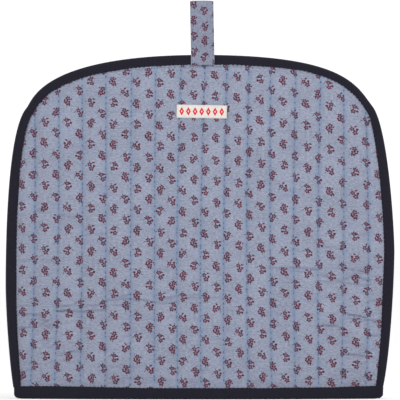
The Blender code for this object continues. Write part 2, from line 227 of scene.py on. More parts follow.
def spaced(points, count):
    """The same line with points at even distances."""
    walked = walked_along(points)
    at = np.linspace(0.0, walked[-1], count)
    return np.column_stack([np.interp(at, walked, points[:, axis]) for axis in (0, 1)])


OUTLINE = np.vstack((half_outline(LEFT)[::-1], half_outline(RIGHT)[1:]))
SEW_LINE = OUTLINE + inward_normals(OUTLINE) * (tape_width(OUTLINE) + CLEARANCE)[:, None]
CROWN_INDEX = int(np.argmax(SEW_LINE[:, 1]))
ARCH = SEW_LINE[SEW_LINE[:, 1] > ARCH_FROM_Z]
print("rim from hem to hem:", round(float(walked_along(OUTLINE)[-1]), 3), "m")

# %% [markdown]
# The panels stand open in a shallow arc, widest at the hem, and close towards the arch. A few
# broad dents make them as uneven as cloth that stands by itself.

# %% How far the panels stand off the seam's plane
BULGE = 0.0500
RISE = 1.8
DENTS_START = 0.25
SEWN_THICKNESS = 0.0020
SAME_PLACE = CLEARANCE / 10
STACK_HALF = SEWN_THICKNESS + CLEARANCE / 2
FLAT = STACK_HALF - SEWN_THICKNESS / 2
HEM_HEIGHT = 0.0104
Dent = namedtuple("Dent", "x z half_width half_height depth")
FRONT_DENTS = (
    Dent(-0.105, 0.078, 0.060, 0.022, 0.0022),
    Dent(0.118, 0.112, 0.045, 0.020, 0.0020),
    Dent(0.030, 0.200, 0.070, 0.045, 0.0015),
    Dent(-0.070, 0.235, 0.050, 0.030, -0.0012),
)
BACK_DENTS = (
    Dent(-0.090, 0.150, 0.060, 0.030, 0.0022),
    Dent(0.095, 0.070, 0.060, 0.026, 0.0018),
    Dent(0.050, 0.225, 0.060, 0.035, -0.0012),
)


def arch_z(x):
    """Height of the sewing line over a point of the panel."""
    return np.interp(x, ARCH[:, 0], ARCH[:, 1])


def side_x(z, out):
    """Where the sewing line stands at a height, on the left (out -1) or the right (out 1)."""
    half = SEW_LINE[: CROWN_INDEX + 1] if out < 0 else SEW_LINE[CROWN_INDEX:][::-1]
    return np.interp(z, half[:, 1], half[:, 0])


def stand_off(x, z, dents):
    """Distance of the panel's middle from the seam plane."""
    x, z = np.asarray(x, float), np.asarray(z, float)
    edge = np.where(x < 0.0, side_x(z, -1.0), side_x(z, 1.0))
    across = np.maximum(1.0 - (x / edge) ** 2, 0.0)
    up = np.maximum(1.0 - (np.maximum(z, 0.0) / arch_z(x)) ** RISE, 0.0)
    mix = across * up / np.maximum(across + up - across * up, SAME_PLACE)
    dent = np.zeros_like(mix)
    for one in dents:
        away = np.hypot((x - one.x) / one.half_width, (z - one.z) / one.half_height)
        dent += one.depth * smooth(1.0 - away / 2)
    return FLAT + BULGE * mix - dent * smooth(mix / DENTS_START)


print("half of the opening at the hem:", round(float(stand_off(0.0, 0.0, ())) / MM, 1), "mm")

# %% [markdown]
# ## Quilting
#
# Fifteen upright rows of running stitches hold the wadding. None is quite straight: each one is a
# gentle curve through three measured places, at the top, the middle and the hem. The cloth
# between two rows is a channel, and a place on the panel is a channel, a share of the way across
# it and a share of the way up.

# %% Stitch rows and channels
Row = namedtuple("Row", "top middle hem")
STITCH_ROWS = (
    Row(-0.1535, -0.1533, -0.1571),
    Row(-0.1314, -0.1314, -0.1348),
    Row(-0.1096, -0.1092, -0.1110),
    Row(-0.0875, -0.0873, -0.0878),
    Row(-0.0638, -0.0643, -0.0645),
    Row(-0.0414, -0.0421, -0.0422),
    Row(-0.0176, -0.0213, -0.0206),
    Row(0.0047, 0.0006, 0.0009),
    Row(0.0251, 0.0219, 0.0221),
    Row(0.0456, 0.0432, 0.0445),
    Row(0.0655, 0.0649, 0.0661),
    Row(0.0890, 0.0866, 0.0880),
    Row(0.1123, 0.1093, 0.1098),
    Row(0.1335, 0.1331, 0.1311),
    Row(0.1539, 0.1560, 0.1539),
)
ROW_TOP, ROW_MIDDLE, ROW_HEM = np.array(STITCH_ROWS).T
LAST_ROW = len(STITCH_ROWS) - 1


def between(a, b, share):
    return a + (b - a) * share


def row_x(index, up):
    """Place of a stitch row at a share of its height: a curve through its three points."""
    low, high = (1.0 - up) * (1.0 - 2.0 * up), up * (2.0 * up - 1.0)
    return low * ROW_HEM[index] + 4.0 * up * (1.0 - up) * ROW_MIDDLE[index] + high * ROW_TOP[index]


def channel_xz(channel, share, up):
    """(x, z) in a channel. Channel -1 lies outside the first row, the last one outside the last."""
    left, right = np.clip(channel, 0, LAST_ROW), np.clip(channel + 1, 0, LAST_ROW)
    z = between(HEM_HEIGHT, arch_z(between(ROW_TOP[left], ROW_TOP[right], share)), up)
    left_x = np.where(channel < 0, side_x(z, -1.0), row_x(left, up))
    right_x = np.where(channel >= LAST_ROW, side_x(z, 1.0), row_x(right, up))
    return between(left_x, right_x, share), z, right_x - left_x


print(len(STITCH_ROWS), "rows,", round(float(np.diff(ROW_MIDDLE).mean()) / MM, 1), "mm apart")

# %% [markdown]
# Hand quilting is never regular. The fullness of a channel swells and sinks, each stitch draws
# the cloth down and small puckers run out from it, and where the cosy was folded a soft crease
# crosses several channels. Broad unevenness comes from a smooth random height. The creases are
# listed one by one, each from one point to another with its own depth.

# %% Random heights
NOISE_TABLE = 64


def soft_noise(x, z, cell_x, cell_z, seed):
    """Smooth random height from -1 to 1, with its own cell size along each axis."""
    heights = np.random.default_rng(seed).uniform(-1.0, 1.0, (NOISE_TABLE, NOISE_TABLE))
    u, v = x / cell_x + NOISE_TABLE, z / cell_z + NOISE_TABLE
    i, j = np.floor(u).astype(int), np.floor(v).astype(int)
    s, t = smooth(u - i), smooth(v - j)
    i, j = i % NOISE_TABLE, j % NOISE_TABLE
    right, above = (i + 1) % NOISE_TABLE, (j + 1) % NOISE_TABLE
    lower = between(heights[i, j], heights[right, j], s)
    upper = between(heights[i, above], heights[right, above], s)
    return between(lower, upper, t)


print("random heights repeat after", NOISE_TABLE, "cells")

# %% Creases listed one by one
Crease = namedtuple("Crease", "x1 z1 x2 z2 bow depth half_width")
FRONT_CREASES = (
    Crease(-0.1720, 0.0780, -0.1502, 0.0777, 0.0004, 0.0007, 0.0013),
    Crease(-0.1502, 0.0777, -0.1362, 0.0665, 0.0012, 0.0008, 0.0013),
    Crease(-0.1474, 0.0563, -0.1362, 0.0451, -0.0010, 0.0007, 0.0012),
    Crease(-0.1700, 0.0860, -0.1548, 0.0858, 0.0003, 0.0006, 0.0011),
    Crease(-0.1316, 0.0814, -0.0870, 0.0832, -0.0012, 0.0009, 0.0012),
    Crease(-0.1316, 0.0862, -0.0870, 0.0870, -0.0010, 0.0006, 0.0011),
    Crease(-0.0862, 0.0907, -0.0442, 0.0897, 0.0020, 0.0009, 0.0012),
    Crease(-0.0442, 0.0898, -0.0209, 0.0897, -0.0005, 0.0006, 0.0011),
    Crease(-0.0405, 0.0868, -0.0209, 0.0860, 0.0002, 0.0004, 0.0010),
    Crease(-0.1288, 0.0405, -0.1093, 0.0442, 0.0006, 0.0007, 0.0012),
    Crease(-0.0739, 0.0563, -0.0646, 0.0581, 0.0003, 0.0006, 0.0011),
    Crease(-0.1074, 0.1511, -0.0870, 0.1530, 0.0006, 0.0006, 0.0012),
    Crease(-0.1307, 0.1693, -0.1093, 0.1697, 0.0003, 0.0006, 0.0012),
    Crease(-0.1520, 0.1744, -0.1381, 0.1725, 0.0003, 0.0005, 0.0012),
    Crease(-0.1690, 0.1279, -0.1548, 0.1279, 0.0003, 0.0005, 0.0012),
    Crease(-0.0098, 0.0953, 0.0005, 0.0963, 0.0002, 0.0006, 0.0011),
    Crease(0.0749, 0.1214, 0.1121, 0.1186, 0.0012, 0.0008, 0.0013),
    Crease(0.1093, 0.1149, 0.1353, 0.1065, 0.0010, 0.0009, 0.0013),
    Crease(0.1307, 0.1102, 0.1539, 0.1214, -0.0012, 0.0008, 0.0013),
    Crease(0.1353, 0.0777, 0.1539, 0.0749, 0.0006, 0.0012, 0.0012),
    Crease(0.1353, 0.0745, 0.1539, 0.0718, 0.0006, 0.0007, 0.0011),
    Crease(0.1149, 0.0684, 0.1307, 0.0665, 0.0005, 0.0007, 0.0012),
    Crease(0.1353, 0.0405, 0.1493, 0.0405, 0.0005, 0.0006, 0.0012),
    Crease(0.0442, 0.0860, 0.0563, 0.0860, 0.0003, 0.0005, 0.0011),
    Crease(0.1539, 0.0730, 0.1697, 0.0684, 0.0004, 0.0008, 0.0012),
    Crease(-0.1485, 0.0748, -0.1390, 0.0726, -0.0008, 0.0008, 0.0011),
    Crease(-0.1490, 0.0712, -0.1420, 0.0686, -0.0006, 0.0008, 0.0011),
    Crease(-0.1700, 0.0645, -0.1562, 0.0662, 0.0004, 0.0008, 0.0012),
    Crease(-0.1352, 0.0820, -0.1262, 0.0812, -0.0005, 0.0007, 0.0011),
    Crease(-0.1245, 0.0855, -0.1130, 0.0876, 0.0005, 0.0006, 0.0011),
    Crease(-0.1435, 0.0557, -0.1375, 0.0528, -0.0004, 0.0007, 0.0011),
    Crease(-0.0405, 0.0935, -0.0215, 0.0955, -0.0016, 0.0007, 0.0012),
    Crease(-0.0200, 0.0935, 0.0000, 0.0930, 0.0006, 0.0007, 0.0012),
    Crease(0.0020, 0.0940, 0.0215, 0.0932, 0.0006, 0.0006, 0.0012),
    Crease(-0.0840, 0.0935, -0.0660, 0.0962, -0.0014, 0.0008, 0.0012),
    Crease(-0.0790, 0.0870, -0.0655, 0.0862, -0.0006, 0.0007, 0.0012),
    Crease(-0.1480, 0.1310, -0.1340, 0.1262, -0.0004, 0.0006, 0.0012),
    Crease(-0.1450, 0.0672, -0.1345, 0.0668, -0.0008, 0.0006, 0.0011),
    Crease(-0.1700, 0.1262, -0.1575, 0.1262, 0.0004, 0.0006, 0.0012),
    Crease(0.1129, 0.0684, 0.1290, 0.0690, -0.0005, 0.0007, 0.0012),
    Crease(0.1078, 0.1098, 0.1240, 0.1076, -0.0006, 0.0007, 0.0012),
    Crease(0.1310, 0.1219, 0.1562, 0.1188, -0.0012, 0.0008, 0.0012),
    Crease(0.1370, 0.1148, 0.1582, 0.1087, 0.0008, 0.0008, 0.0012),
    Crease(0.1370, 0.1067, 0.1590, 0.1057, -0.0004, 0.0007, 0.0011),
    Crease(0.1340, 0.0412, 0.1532, 0.0407, -0.0010, 0.0007, 0.0012),
    Crease(0.0614, 0.1219, 0.0876, 0.1183, 0.0004, 0.0006, 0.0012),
    Crease(0.0876, 0.1188, 0.1078, 0.1194, -0.0006, 0.0007, 0.0012),
    Crease(0.0705, 0.1073, 0.0846, 0.1077, 0.0004, 0.0005, 0.0011),
    Crease(0.1129, 0.1406, 0.1280, 0.1402, -0.0004, 0.0006, 0.0012),
    Crease(0.1370, 0.1526, 0.1582, 0.1550, -0.0010, 0.0007, 0.0012),
    Crease(0.1592, 0.1330, 0.1683, 0.1295, 0.0010, 0.0006, 0.0011),
    Crease(0.1562, 0.0598, 0.1673, 0.0594, -0.0006, 0.0008, 0.0012),
    Crease(0.1562, 0.0916, 0.1673, 0.0896, 0.0004, 0.0006, 0.0011),
)
BACK_CREASES = (
    Crease(-0.1500, 0.1510, -0.0870, 0.1490, 0.0015, 0.0009, 0.0013),
    Crease(-0.0640, 0.0700, -0.0210, 0.0720, 0.0008, 0.0007, 0.0012),
    Crease(0.0660, 0.0690, 0.1310, 0.0660, -0.0012, 0.0009, 0.0013),
    Crease(0.1330, 0.1050, 0.1600, 0.1120, 0.0008, 0.0008, 0.0013),
    Crease(-0.1660, 0.0520, -0.1350, 0.0480, 0.0006, 0.0008, 0.0012),
    Crease(0.0010, 0.1880, 0.0430, 0.1900, 0.0008, 0.0006, 0.0012),
)
print(len(FRONT_CREASES), "creases on the front,", len(BACK_CREASES), "on the back")

# %% [markdown]
# A crease is a narrow trough with a low ridge above it. It bows a little between its two ends,
# fades out at both, and wanders by a fraction of a millimetre. Beside the height it gives a
# number from 0 to about 1, which says how much bluish shade is painted into the crease.

# %% Height of the creases
CREASE_FADE = 0.20
RIDGE_SHARE = 0.55
RIDGE_AWAY = 1.9
CREASE_NARROWER = 0.75
WANDER = 0.00085
WANDER_CELL = (0.0100, 0.0100)
WANDER_SEED = 91
FULL_CREASE = 0.0009


def creased(x, z, creases):
    """Height of all creases together, and how deep in a crease each point lies."""
    height, fold = np.zeros_like(x), np.zeros_like(x)
    wander = WANDER * soft_noise(x, z, *WANDER_CELL, WANDER_SEED)
    for one in creases:
        start, leg = np.array((one.x1, one.z1)), np.array((one.x2 - one.x1, one.z2 - one.z1))
        length = float(np.hypot(*leg))
        along = ((x - start[0]) * leg[0] + (z - start[1]) * leg[1]) / length**2
        off = ((z - start[1]) * leg[0] - (x - start[0]) * leg[1]) / length
        inside = np.clip(along, 0.0, 1.0)
        off = off + wander - 4.0 * one.bow * inside * (1.0 - inside)
        half = one.half_width * CREASE_NARROWER
        ends = smooth((along + CREASE_FADE / 2) / CREASE_FADE)
        ends = ends * smooth((1.0 + CREASE_FADE / 2 - along) / CREASE_FADE)
        trough = -np.exp(-((off / half) ** 2))
        ridge = RIDGE_SHARE * np.exp(-((off / half - RIDGE_AWAY) ** 2))
        height += one.depth * ends * (trough + ridge)
        fold = np.maximum(fold, -one.depth / FULL_CREASE * ends * trough)
    return height, fold


middles = np.array([((one.x1 + one.x2) / 2, (one.z1 + one.z2) / 2) for one in FRONT_CREASES])
dips = creased(middles[:, 0], middles[:, 1], FRONT_CREASES)[0]
print("half way along, the front's creases are up to", round(float(-dips.min()) / MM, 2), "mm deep")

# %% [markdown]
# Now the relief of the quilted cloth is a sum: the puff of the channel, the pull of the stitches,
# the puckers beside them, wrinkles and creases. It fades out where the panel goes into a tape,
# because the cloth is pressed flat there. Only the low roll above the second row of stitches on
# the crown comes up to the tape.

# %% Relief of a panel
OUTER_PUFF = 0.0021
INNER_PUFF = 0.0010
PUFF_ROUNDNESS = 0.62
PUFF_FADE = 0.0110
LUMP = 0.20
LUMP_CELL = (0.016, 0.021)
PULL = 0.00006
PULL_AT_STITCH = 0.00042
PULL_HALF_WIDTH = 0.0011
PUCKER = 0.00055
PUCKER_CELL = (0.0085, 0.0026)
PUCKER_REACH = 0.0060
WRINKLE = 0.00046
WRINKLE_CELL = (0.0150, 0.0037)
CREASE_DEEPER = 1.55
FLAT_AT_TAPE = 0.0060
STITCH_PITCH = 0.0056
ROW_PHASE_STEP = 0.37
CROWN_ROW_ENDS = (-0.0700, 0.0620)
CROWN_ROW_BELOW = 0.0016
CROWN_RIDGE = 0.00055
CROWN_RIDGE_HALF = 0.0006
CROWN_UNEVEN = 0.4
ROW_MARGIN = 0.0016
PUCKER_SEED = 1
WRINKLE_SEED = 2
CROWN_SEED = 3
BAND_SEED = 4
STITCH_SEED = 5
CROWN_STITCH_SEED = 9
Face = namedtuple("Face", "name facing dents creases seed")
FRONT = Face("front", -1.0, FRONT_DENTS, FRONT_CREASES, 11)
BACK = Face("back", 1.0, BACK_DENTS, BACK_CREASES, 47)


def fullness(share, x, z):
    """0 on the stitch rows and in the tapes, and 1 on the crown of a channel."""
    fade = smooth(np.minimum(arch_z(x) - z, z - HEM_HEIGHT) / PUFF_FADE)
    return fade * np.sin(np.pi * np.clip(share, 0.0, 1.0)) ** PUFF_ROUNDNESS


def from_row(channel, share, width):
    """Distance from the nearest row of quilting stitches."""
    to_left = np.where(channel < 0, np.inf, share * np.abs(width))
    to_right = np.where(channel >= LAST_ROW, np.inf, (1.0 - share) * np.abs(width))
    return np.minimum(to_left, to_right)


def row_phase(row):
    """Each row's stitches start at their own height."""
    return (row * ROW_PHASE_STEP % 1.0) * STITCH_PITCH


def crown_seam(x, z, seed):
    """The low roll of cloth between the tape on the crown and the row of stitches below it."""
    below = arch_z(x) - z
    here = smooth((x - CROWN_ROW_ENDS[0]) / FLAT_AT_TAPE) * smooth((CROWN_ROW_ENDS[1] - x) / FLAT_AT_TAPE)
    roll = np.exp(-(((below - CROWN_ROW_BELOW / 2) / CROWN_RIDGE_HALF) ** 2))
    groove = np.exp(-(((below - CROWN_ROW_BELOW) / CROWN_RIDGE_HALF) ** 2))
    uneven = 1.0 + CROWN_UNEVEN * soft_noise(x, z, *PUCKER_CELL[::-1], seed + CROWN_SEED)
    return CROWN_RIDGE * here * uneven * (roll - groove / 2)


def relief(channel, share, x, z, width, face):
    """Height of the cloth over the sewn-flat panel."""
    puff = fullness(share, x, z)
    lump = 1.0 + LUMP * soft_noise(x, z, *LUMP_CELL, face.seed)
    away = from_row(channel, share, width)
    pulled = np.exp(-((away / PULL_HALF_WIDTH) ** 2))
    row = np.clip(np.where(share < 0.5, channel, channel + 1), 0, LAST_ROW)
    steps_up = (z - HEM_HEIGHT - ROW_MARGIN - row_phase(row)) / STITCH_PITCH
    stitch = 0.5 - 0.5 * np.cos(2.0 * np.pi * steps_up)
    near = np.exp(-away / PUCKER_REACH)
    side_gap = np.minimum(x - side_x(z, -1.0), side_x(z, 1.0) - x)
    loose = smooth(np.minimum(side_gap, np.minimum(arch_z(x) - z, z - HEM_HEIGHT)) / FLAT_AT_TAPE)
    small = PUCKER * near * soft_noise(x, z, *PUCKER_CELL, face.seed + PUCKER_SEED)
    small += WRINKLE * soft_noise(x, z, *WRINKLE_CELL, face.seed + WRINKLE_SEED)
    small += CREASE_DEEPER * creased(x, z, face.creases)[0]
    small -= pulled * (PULL + PULL_AT_STITCH * stitch)
    return OUTER_PUFF * puff * lump + loose * small + crown_seam(x, z, face.seed)


def surface_normal(x, z, dents):
    """Unit normal of the panel's middle, for the side that faces +Y."""
    step = CLEARANCE
    slope_x = (stand_off(x + step, z, dents) - stand_off(x - step, z, dents)) / (2 * step)
    slope_z = (stand_off(x, z + step, dents) - stand_off(x, z - step, dents)) / (2 * step)
    normal = np.stack((-slope_x, np.ones_like(slope_x), -slope_z), axis=-1)
    return normal / np.linalg.norm(normal, axis=-1, keepdims=True)


def cloth_point(channel, share, up, face, inside=False):
    """Points of the panel's outer face, or of its inner one."""
    x, z, width = channel_xz(channel, share, up)
    middle = np.stack((x, stand_off(x, z, face.dents), z), axis=-1)
    if inside:
        height = -(SEWN_THICKNESS / 2 + INNER_PUFF * fullness(share, x, z))
    else:
        height = SEWN_THICKNESS / 2 + relief(channel, share, x, z, width, face)
    point = middle + surface_normal(x, z, face.dents) * height[..., None]
    point[..., 1] = np.maximum(point[..., 1], CLEARANCE / 2) * face.facing
    return point


stitch_every, puff_by = round(STITCH_PITCH / MM, 1), round(OUTER_PUFF / MM, 1)
print("a stitch every", stitch_every, "mm, in channels that puff by", puff_by, "mm")

# %% [markdown]
# ## Cloth coordinates
#
# A print follows the cloth and not the room, so each panel gets a UV map in metres of cloth. The
# print isn't quite straight on this cosy: its rows drop to the right and its columns lean a
# little, and each row of stitches swallows a sliver of it.

# %% Where the print lies on a panel
PRINT_MIDDLE = (0.0059, -0.0058)
PRINT_LEAN = 0.0063
PRINT_DROP = 0.0555
SWALLOWED = 0.0009
SWALLOWED_HALF_WIDTH = 0.0006
WARP_X = np.linspace(-0.16, 0.16, 9)
WARP_ACROSS = np.array((-0.1, 0.0, 0.1, 0.9, 0.1, -1.3, -0.9, -0.3, 1.8)) * MM
WARP_UP = np.array((-1.6, -0.7, 0.2, 0.8, 1.6, 1.3, -0.3, -2.2, -3.4)) * MM


def print_uv(channel, share, up, facing):
    """(u, v) in metres of printed cloth, with the middle of one sprig at (0, 0)."""
    x, z, width = channel_xz(channel, share, up)
    away = from_row(channel, share, width)
    inner = (channel >= 0) & (channel < LAST_ROW)
    ahead = SWALLOWED * (0.5 - share) * (1.0 - np.exp(-((away / SWALLOWED_HALF_WIDTH) ** 2)))
    u = x - PRINT_MIDDLE[0] + PRINT_LEAN * z - np.interp(x, WARP_X, WARP_ACROSS)
    u = u + np.where(inner, ahead, 0.0)
    v = z - PRINT_MIDDLE[1] + PRINT_DROP * x - np.interp(x, WARP_X, WARP_UP)
    return (u if facing < 0 else -u), v


print("the print drops", round(PRINT_DROP * WARP_X[-1] * 2 / MM, 1), "mm from left to right")

# %% [markdown]
# ## The panels
#
# A quilted panel could be a plain sheet with a Displace modifier, but its relief depends on the
# rows of stitches, which a texture can't follow. So a flat grid is made with one operator, and
# extruded once so that it is a closed double skin. Each grid point keeps its column, its row and
# its skin as numbers, and those say where on the cosy it goes. The columns crowd at the stitch
# rows. The hanging loop is made in the same way, and the tapes and the label from a single grid.

# %% Grid columns and rows
CELLS_PER_CHANNEL = 9
CELLS_UP = 320


def column_table():
    """Channel and share of each grid column, with the first and the last one twice."""
    shares = 0.5 - 0.5 * np.cos(np.pi * np.arange(CELLS_PER_CHANNEL) / CELLS_PER_CHANNEL)
    channels = np.arange(-1, LAST_ROW + 1)
    channel = np.append(np.repeat(channels, CELLS_PER_CHANNEL), LAST_ROW)
    share = np.append(np.tile(shares, len(channels)), 1.0)
    return np.pad(channel, 1, mode="edge"), np.pad(share, 1, mode="edge")


def numbered_grid(columns, rows):
    """A flat grid whose points know their column and row."""
    shape = bmesh.new()
    bmesh.ops.create_grid(shape, x_segments=columns, y_segments=rows, size=0.5)
    column = shape.verts.layers.int.new("column")
    row = shape.verts.layers.int.new("row")
    for vert in shape.verts:
        vert[column] = round((vert.co.x + 0.5) * columns)
        vert[row] = round((vert.co.y + 0.5) * rows)
    return shape


def double_grid(name, columns, rows):
    """A mesh of two such grids, joined round their edges. Their points know their skin too."""
    shape = numbered_grid(columns, rows)
    skin = shape.verts.layers.int.new("skin")
    made = bmesh.ops.extrude_face_region(shape, geom=shape.faces[:], use_keep_orig=True)
    for item in made["geom"]:
        if isinstance(item, bmesh.types.BMVert):
            item[skin] = 1
    return as_mesh(shape, name)


# %% Reading the numbers and placing the points
def numbers(data, name):
    """An integer attribute of a mesh as an array."""
    values = np.zeros(len(data.vertices), np.int32)
    data.attributes[name].data.foreach_get("value", values)
    return values


def drop_numbers(data):
    """Takes the grid's numbers off once every point has its place."""
    for name in ("column", "row", "skin"):
        if name in data.attributes:
            data.attributes.remove(data.attributes[name])


def place(data, points):
    data.vertices.foreach_set("co", np.asarray(points, np.float32).ravel())
    data.update()


def keep_values(data, name, values):
    """Stores one number for each point of the cloth, for a material to read."""
    layer = data.attributes.new(name, "FLOAT", "POINT")
    layer.data.foreach_set("value", np.asarray(values, np.float32))


def keep_uv(data, u, v):
    """Stores cloth coordinates, one pair for each point, as the piece's UV map."""
    corner = np.zeros(len(data.loops), np.int32)
    data.loops.foreach_get("vertex_index", corner)
    layer = data.uv_layers.new(name="cloth")
    layer.data.foreach_set("uv", np.column_stack((u[corner], v[corner])).astype(np.float32).ravel())


def sew_shut(data, lining_inside=False):
    """Merges the points that meet, so that a piece is closed, and turns its faces outwards."""
    shape = bmesh.new()
    shape.from_mesh(data)
    if lining_inside:
        skin = shape.verts.layers.int.get("skin")
        for one in shape.faces:
            one.material_index = int(all(vert[skin] == 1 for vert in one.verts))
    bmesh.ops.remove_doubles(shape, verts=shape.verts, dist=SAME_PLACE)
    bmesh.ops.recalc_face_normals(shape, faces=shape.faces)
    shape.to_mesh(data)
    shape.free()


print("a panel has", len(column_table()[0]), "columns and", CELLS_UP + 3, "rows of points")

# %% [markdown]
# The sewn edge of a panel isn't its end: an allowance goes on into the tape, out of sight. Each
# point of the sewing line is carried on to a cut edge just inside the outer edge or the hem.

# %% The hidden allowance
RAW_EDGE_INSET = 0.0026
TAPE = 0.0010
RAW_HEM_Z = TAPE + 2 * CLEARANCE


def to_outline(x, z):
    """The nearest point of the outer edge."""
    here = np.array((x, z))
    legs = OUTLINE[1:] - OUTLINE[:-1]
    shares = np.clip(((here - OUTLINE[:-1]) * legs).sum(axis=1) / (legs**2).sum(axis=1), 0.0, 1.0)
    feet = OUTLINE[:-1] + legs * shares[:, None]
    return feet[np.argmin(np.linalg.norm(feet - here, axis=1))]


def raw_edge(point):
    """Where a point of the sewing line continues to, at the cut edge inside the tape."""
    x, y, z = point
    if z < HEM_HEIGHT + SAME_PLACE:
        return x, y, RAW_HEM_Z
    foot = to_outline(x, z)
    outwards = foot - np.array((x, z))
    foot = foot - outwards / np.linalg.norm(outwards) * RAW_EDGE_INSET
    return foot[0], y, foot[1]


def with_allowance(points):
    """Moves the outermost line of grid points into the tapes."""
    rows, columns = points.shape[:2]
    for j in range(rows):
        points[j, 0] = raw_edge(points[j, 1])
        points[j, -1] = raw_edge(points[j, -2])
    for i in range(columns):
        points[0, i] = (*points[1, i][:2], RAW_HEM_Z)
        points[-1, i] = raw_edge(points[-2, i])
    return points


print("the raw edges end", round(RAW_EDGE_INSET / MM, 1), "mm inside the rim")

# %% [markdown]
# Besides its place, each point of a panel keeps two numbers for the material: how near it is to
# the blue bands along the stitches, which are thread colour and painted trough shade, and how
# deep in a crease or a wrinkle trough it lies, which says where painted bluish shade goes.

# %% Build a panel
def finish_piece(name, data, *materials):
    """Makes the object, smooth, with its place in its mesh."""
    data.name = name
    for surface in materials:
        data.materials.append(surface)
    data.shade_smooth()
    return link(bpy.data.objects.new(name, data))


# Painted shade: the blue band along each row of stitches is the thread's own colour and a painted shade
# of the trough together; its strength varies at random along the row.
STITCH_BAND = 0.0023
BAND_CELL = (0.030, 0.0065)
BAND_STRENGTH = 0.75
BAND_DRIFT = 0.35
# Painted shade: how much bluish shade goes into the colour in the troughs of the wrinkles, and from where
# to where it grows.
WRINKLE_SHADE = 0.42
WRINKLE_FROM = 0.20
WRINKLE_FULL = 0.85


def quilted_panel(face, outside, inside):
    """A closed double skin: printed cotton outside and plain cotton inside."""
    channel, share = column_table()
    up = np.pad(np.linspace(0.0, 1.0, CELLS_UP + 1), 1, mode="edge")
    data = double_grid("panel_" + face.name, len(channel) - 1, len(up) - 1)
    grid = np.broadcast_arrays(channel[None, :], share[None, :], up[:, None])
    outer = with_allowance(cloth_point(*grid, face))
    inner = with_allowance(cloth_point(*grid, face, inside=True))
    i, j, skins = numbers(data, "column"), numbers(data, "row"), numbers(data, "skin")
    place(data, np.where(skins[:, None] == 1, inner[j, i], outer[j, i]))
    u, v = print_uv(*grid, face.facing)
    keep_uv(data, u[j, i], v[j, i])

    x, z, width = channel_xz(*grid)
    away = from_row(grid[0], grid[1], width)
    # Painted shade: the band is thread colour and painted trough shade, stronger in some places than in
    # others.
    band_varies = BAND_STRENGTH + BAND_DRIFT * soft_noise(x, z, *BAND_CELL, face.seed + BAND_SEED)
    thread_and_shade = np.exp(-((away / STITCH_BAND) ** 3)) * band_varies
    keep_values(data, "thread_and_shade", thread_and_shade[j, i] * (skins == 0))
    # Painted shade: the troughs of the creases and the wrinkles get a bluish shade in the colour.
    wrinkle = -soft_noise(x, z, *WRINKLE_CELL, face.seed + WRINKLE_SEED)
    wrinkle = WRINKLE_SHADE * smooth((wrinkle - WRINKLE_FROM) / (WRINKLE_FULL - WRINKLE_FROM))
    folded = np.maximum(creased(x, z, face.creases)[1], wrinkle)
    keep_values(data, "folded", folded[j, i] * (skins == 0))
    sew_shut(data, lining_inside=True)
    drop_numbers(data)
    return finish_piece("quilted_panel_" + face.name, data, outside, inside)


# %% [markdown]
# ## Materials
#
# Woven cotton is a fine grid of threads, with small differences of dye and of light from place to
# place. The print lies on top of it. Both effects are node groups, because the panels, the loop
# and the tapes share them: each material feeds a group its own cloth coordinates and values.

# %% Short words for nodes
def put(tree, kind, inputs=(), **settings):
    """Adds a node. Each input is a value or another node's output, by index or by name."""
    node = tree.nodes.new("ShaderNode" + kind)
    for name, value in settings.items():
        setattr(node, name, value)
    pairs = inputs.items() if isinstance(inputs, dict) else enumerate(inputs)
    for key, value in pairs:
        if isinstance(value, bpy.types.NodeSocket):
            tree.links.new(value, node.inputs[key])
        elif value is not None:
            node.inputs[key].default_value = value
    return node


def sum_of(tree, operation, *values):
    """One Math node, and its output."""
    return put(tree, "Math", values, operation=operation).outputs[0]


def ramp(tree, value, low, high, at_low=0.0, at_high=1.0):
    """A soft step from one value to another."""
    node = put(tree, "MapRange", (value, low, high, at_low, at_high), interpolation_type="SMOOTHSTEP")
    return node.outputs[0]


COLOUR_SOCKETS = (6, 7)


def blend(tree, share, first, second):
    """A mix of two colours."""
    node = put(tree, "Mix", {"Factor": share}, data_type="RGBA")
    for index, value in zip(COLOUR_SOCKETS, (first, second)):
        socket = node.inputs[index]
        if isinstance(value, bpy.types.NodeSocket):
            tree.links.new(value, socket)
        else:
            socket.default_value = (*value, 1.0)
    return node.outputs[2]


def strayed(tree, colour, reach):
    """A random colour as a random shift, of up to half of the reach either way."""
    centred = put(tree, "VectorMath", (colour, (0.5, 0.5, 0.5)), operation="SUBTRACT").outputs[0]
    return put(tree, "VectorMath", {0: centred, "Scale": reach}, operation="SCALE").outputs[0]


def new_group(name, inputs, outputs):
    """An empty node group with named sockets, its input sockets and its output node."""
    tree = bpy.data.node_groups.new(name, "ShaderNodeTree")
    for label, kind in inputs:
        tree.interface.new_socket(label, in_out="INPUT", socket_type=kind)
    for label, kind in outputs:
        tree.interface.new_socket(label, in_out="OUTPUT", socket_type=kind)
    return tree, tree.nodes.new("NodeGroupInput").outputs, tree.nodes.new("NodeGroupOutput").inputs


# %% [markdown]
# Plain weave: warp and weft threads pass over each other by turns, like a chessboard. Inside a
# square where the warp is on top the height is an arch across, and in the next square an arch the
# other way. Three random masks go with it: one for each crossing of threads, one for broad patches
# and one for slubs, the short thick places in a thread.

# %% Weave group
SLUB_SCALE = 820.0
SLUB_STRETCH = (0.5, 1.0, 1.0)
SLUB_DETAIL = 2.0
PATCH_DETAIL = 3.0
PATCH_ROUGHNESS = 0.6
PATCH_RANGE = (0.3, 0.7)


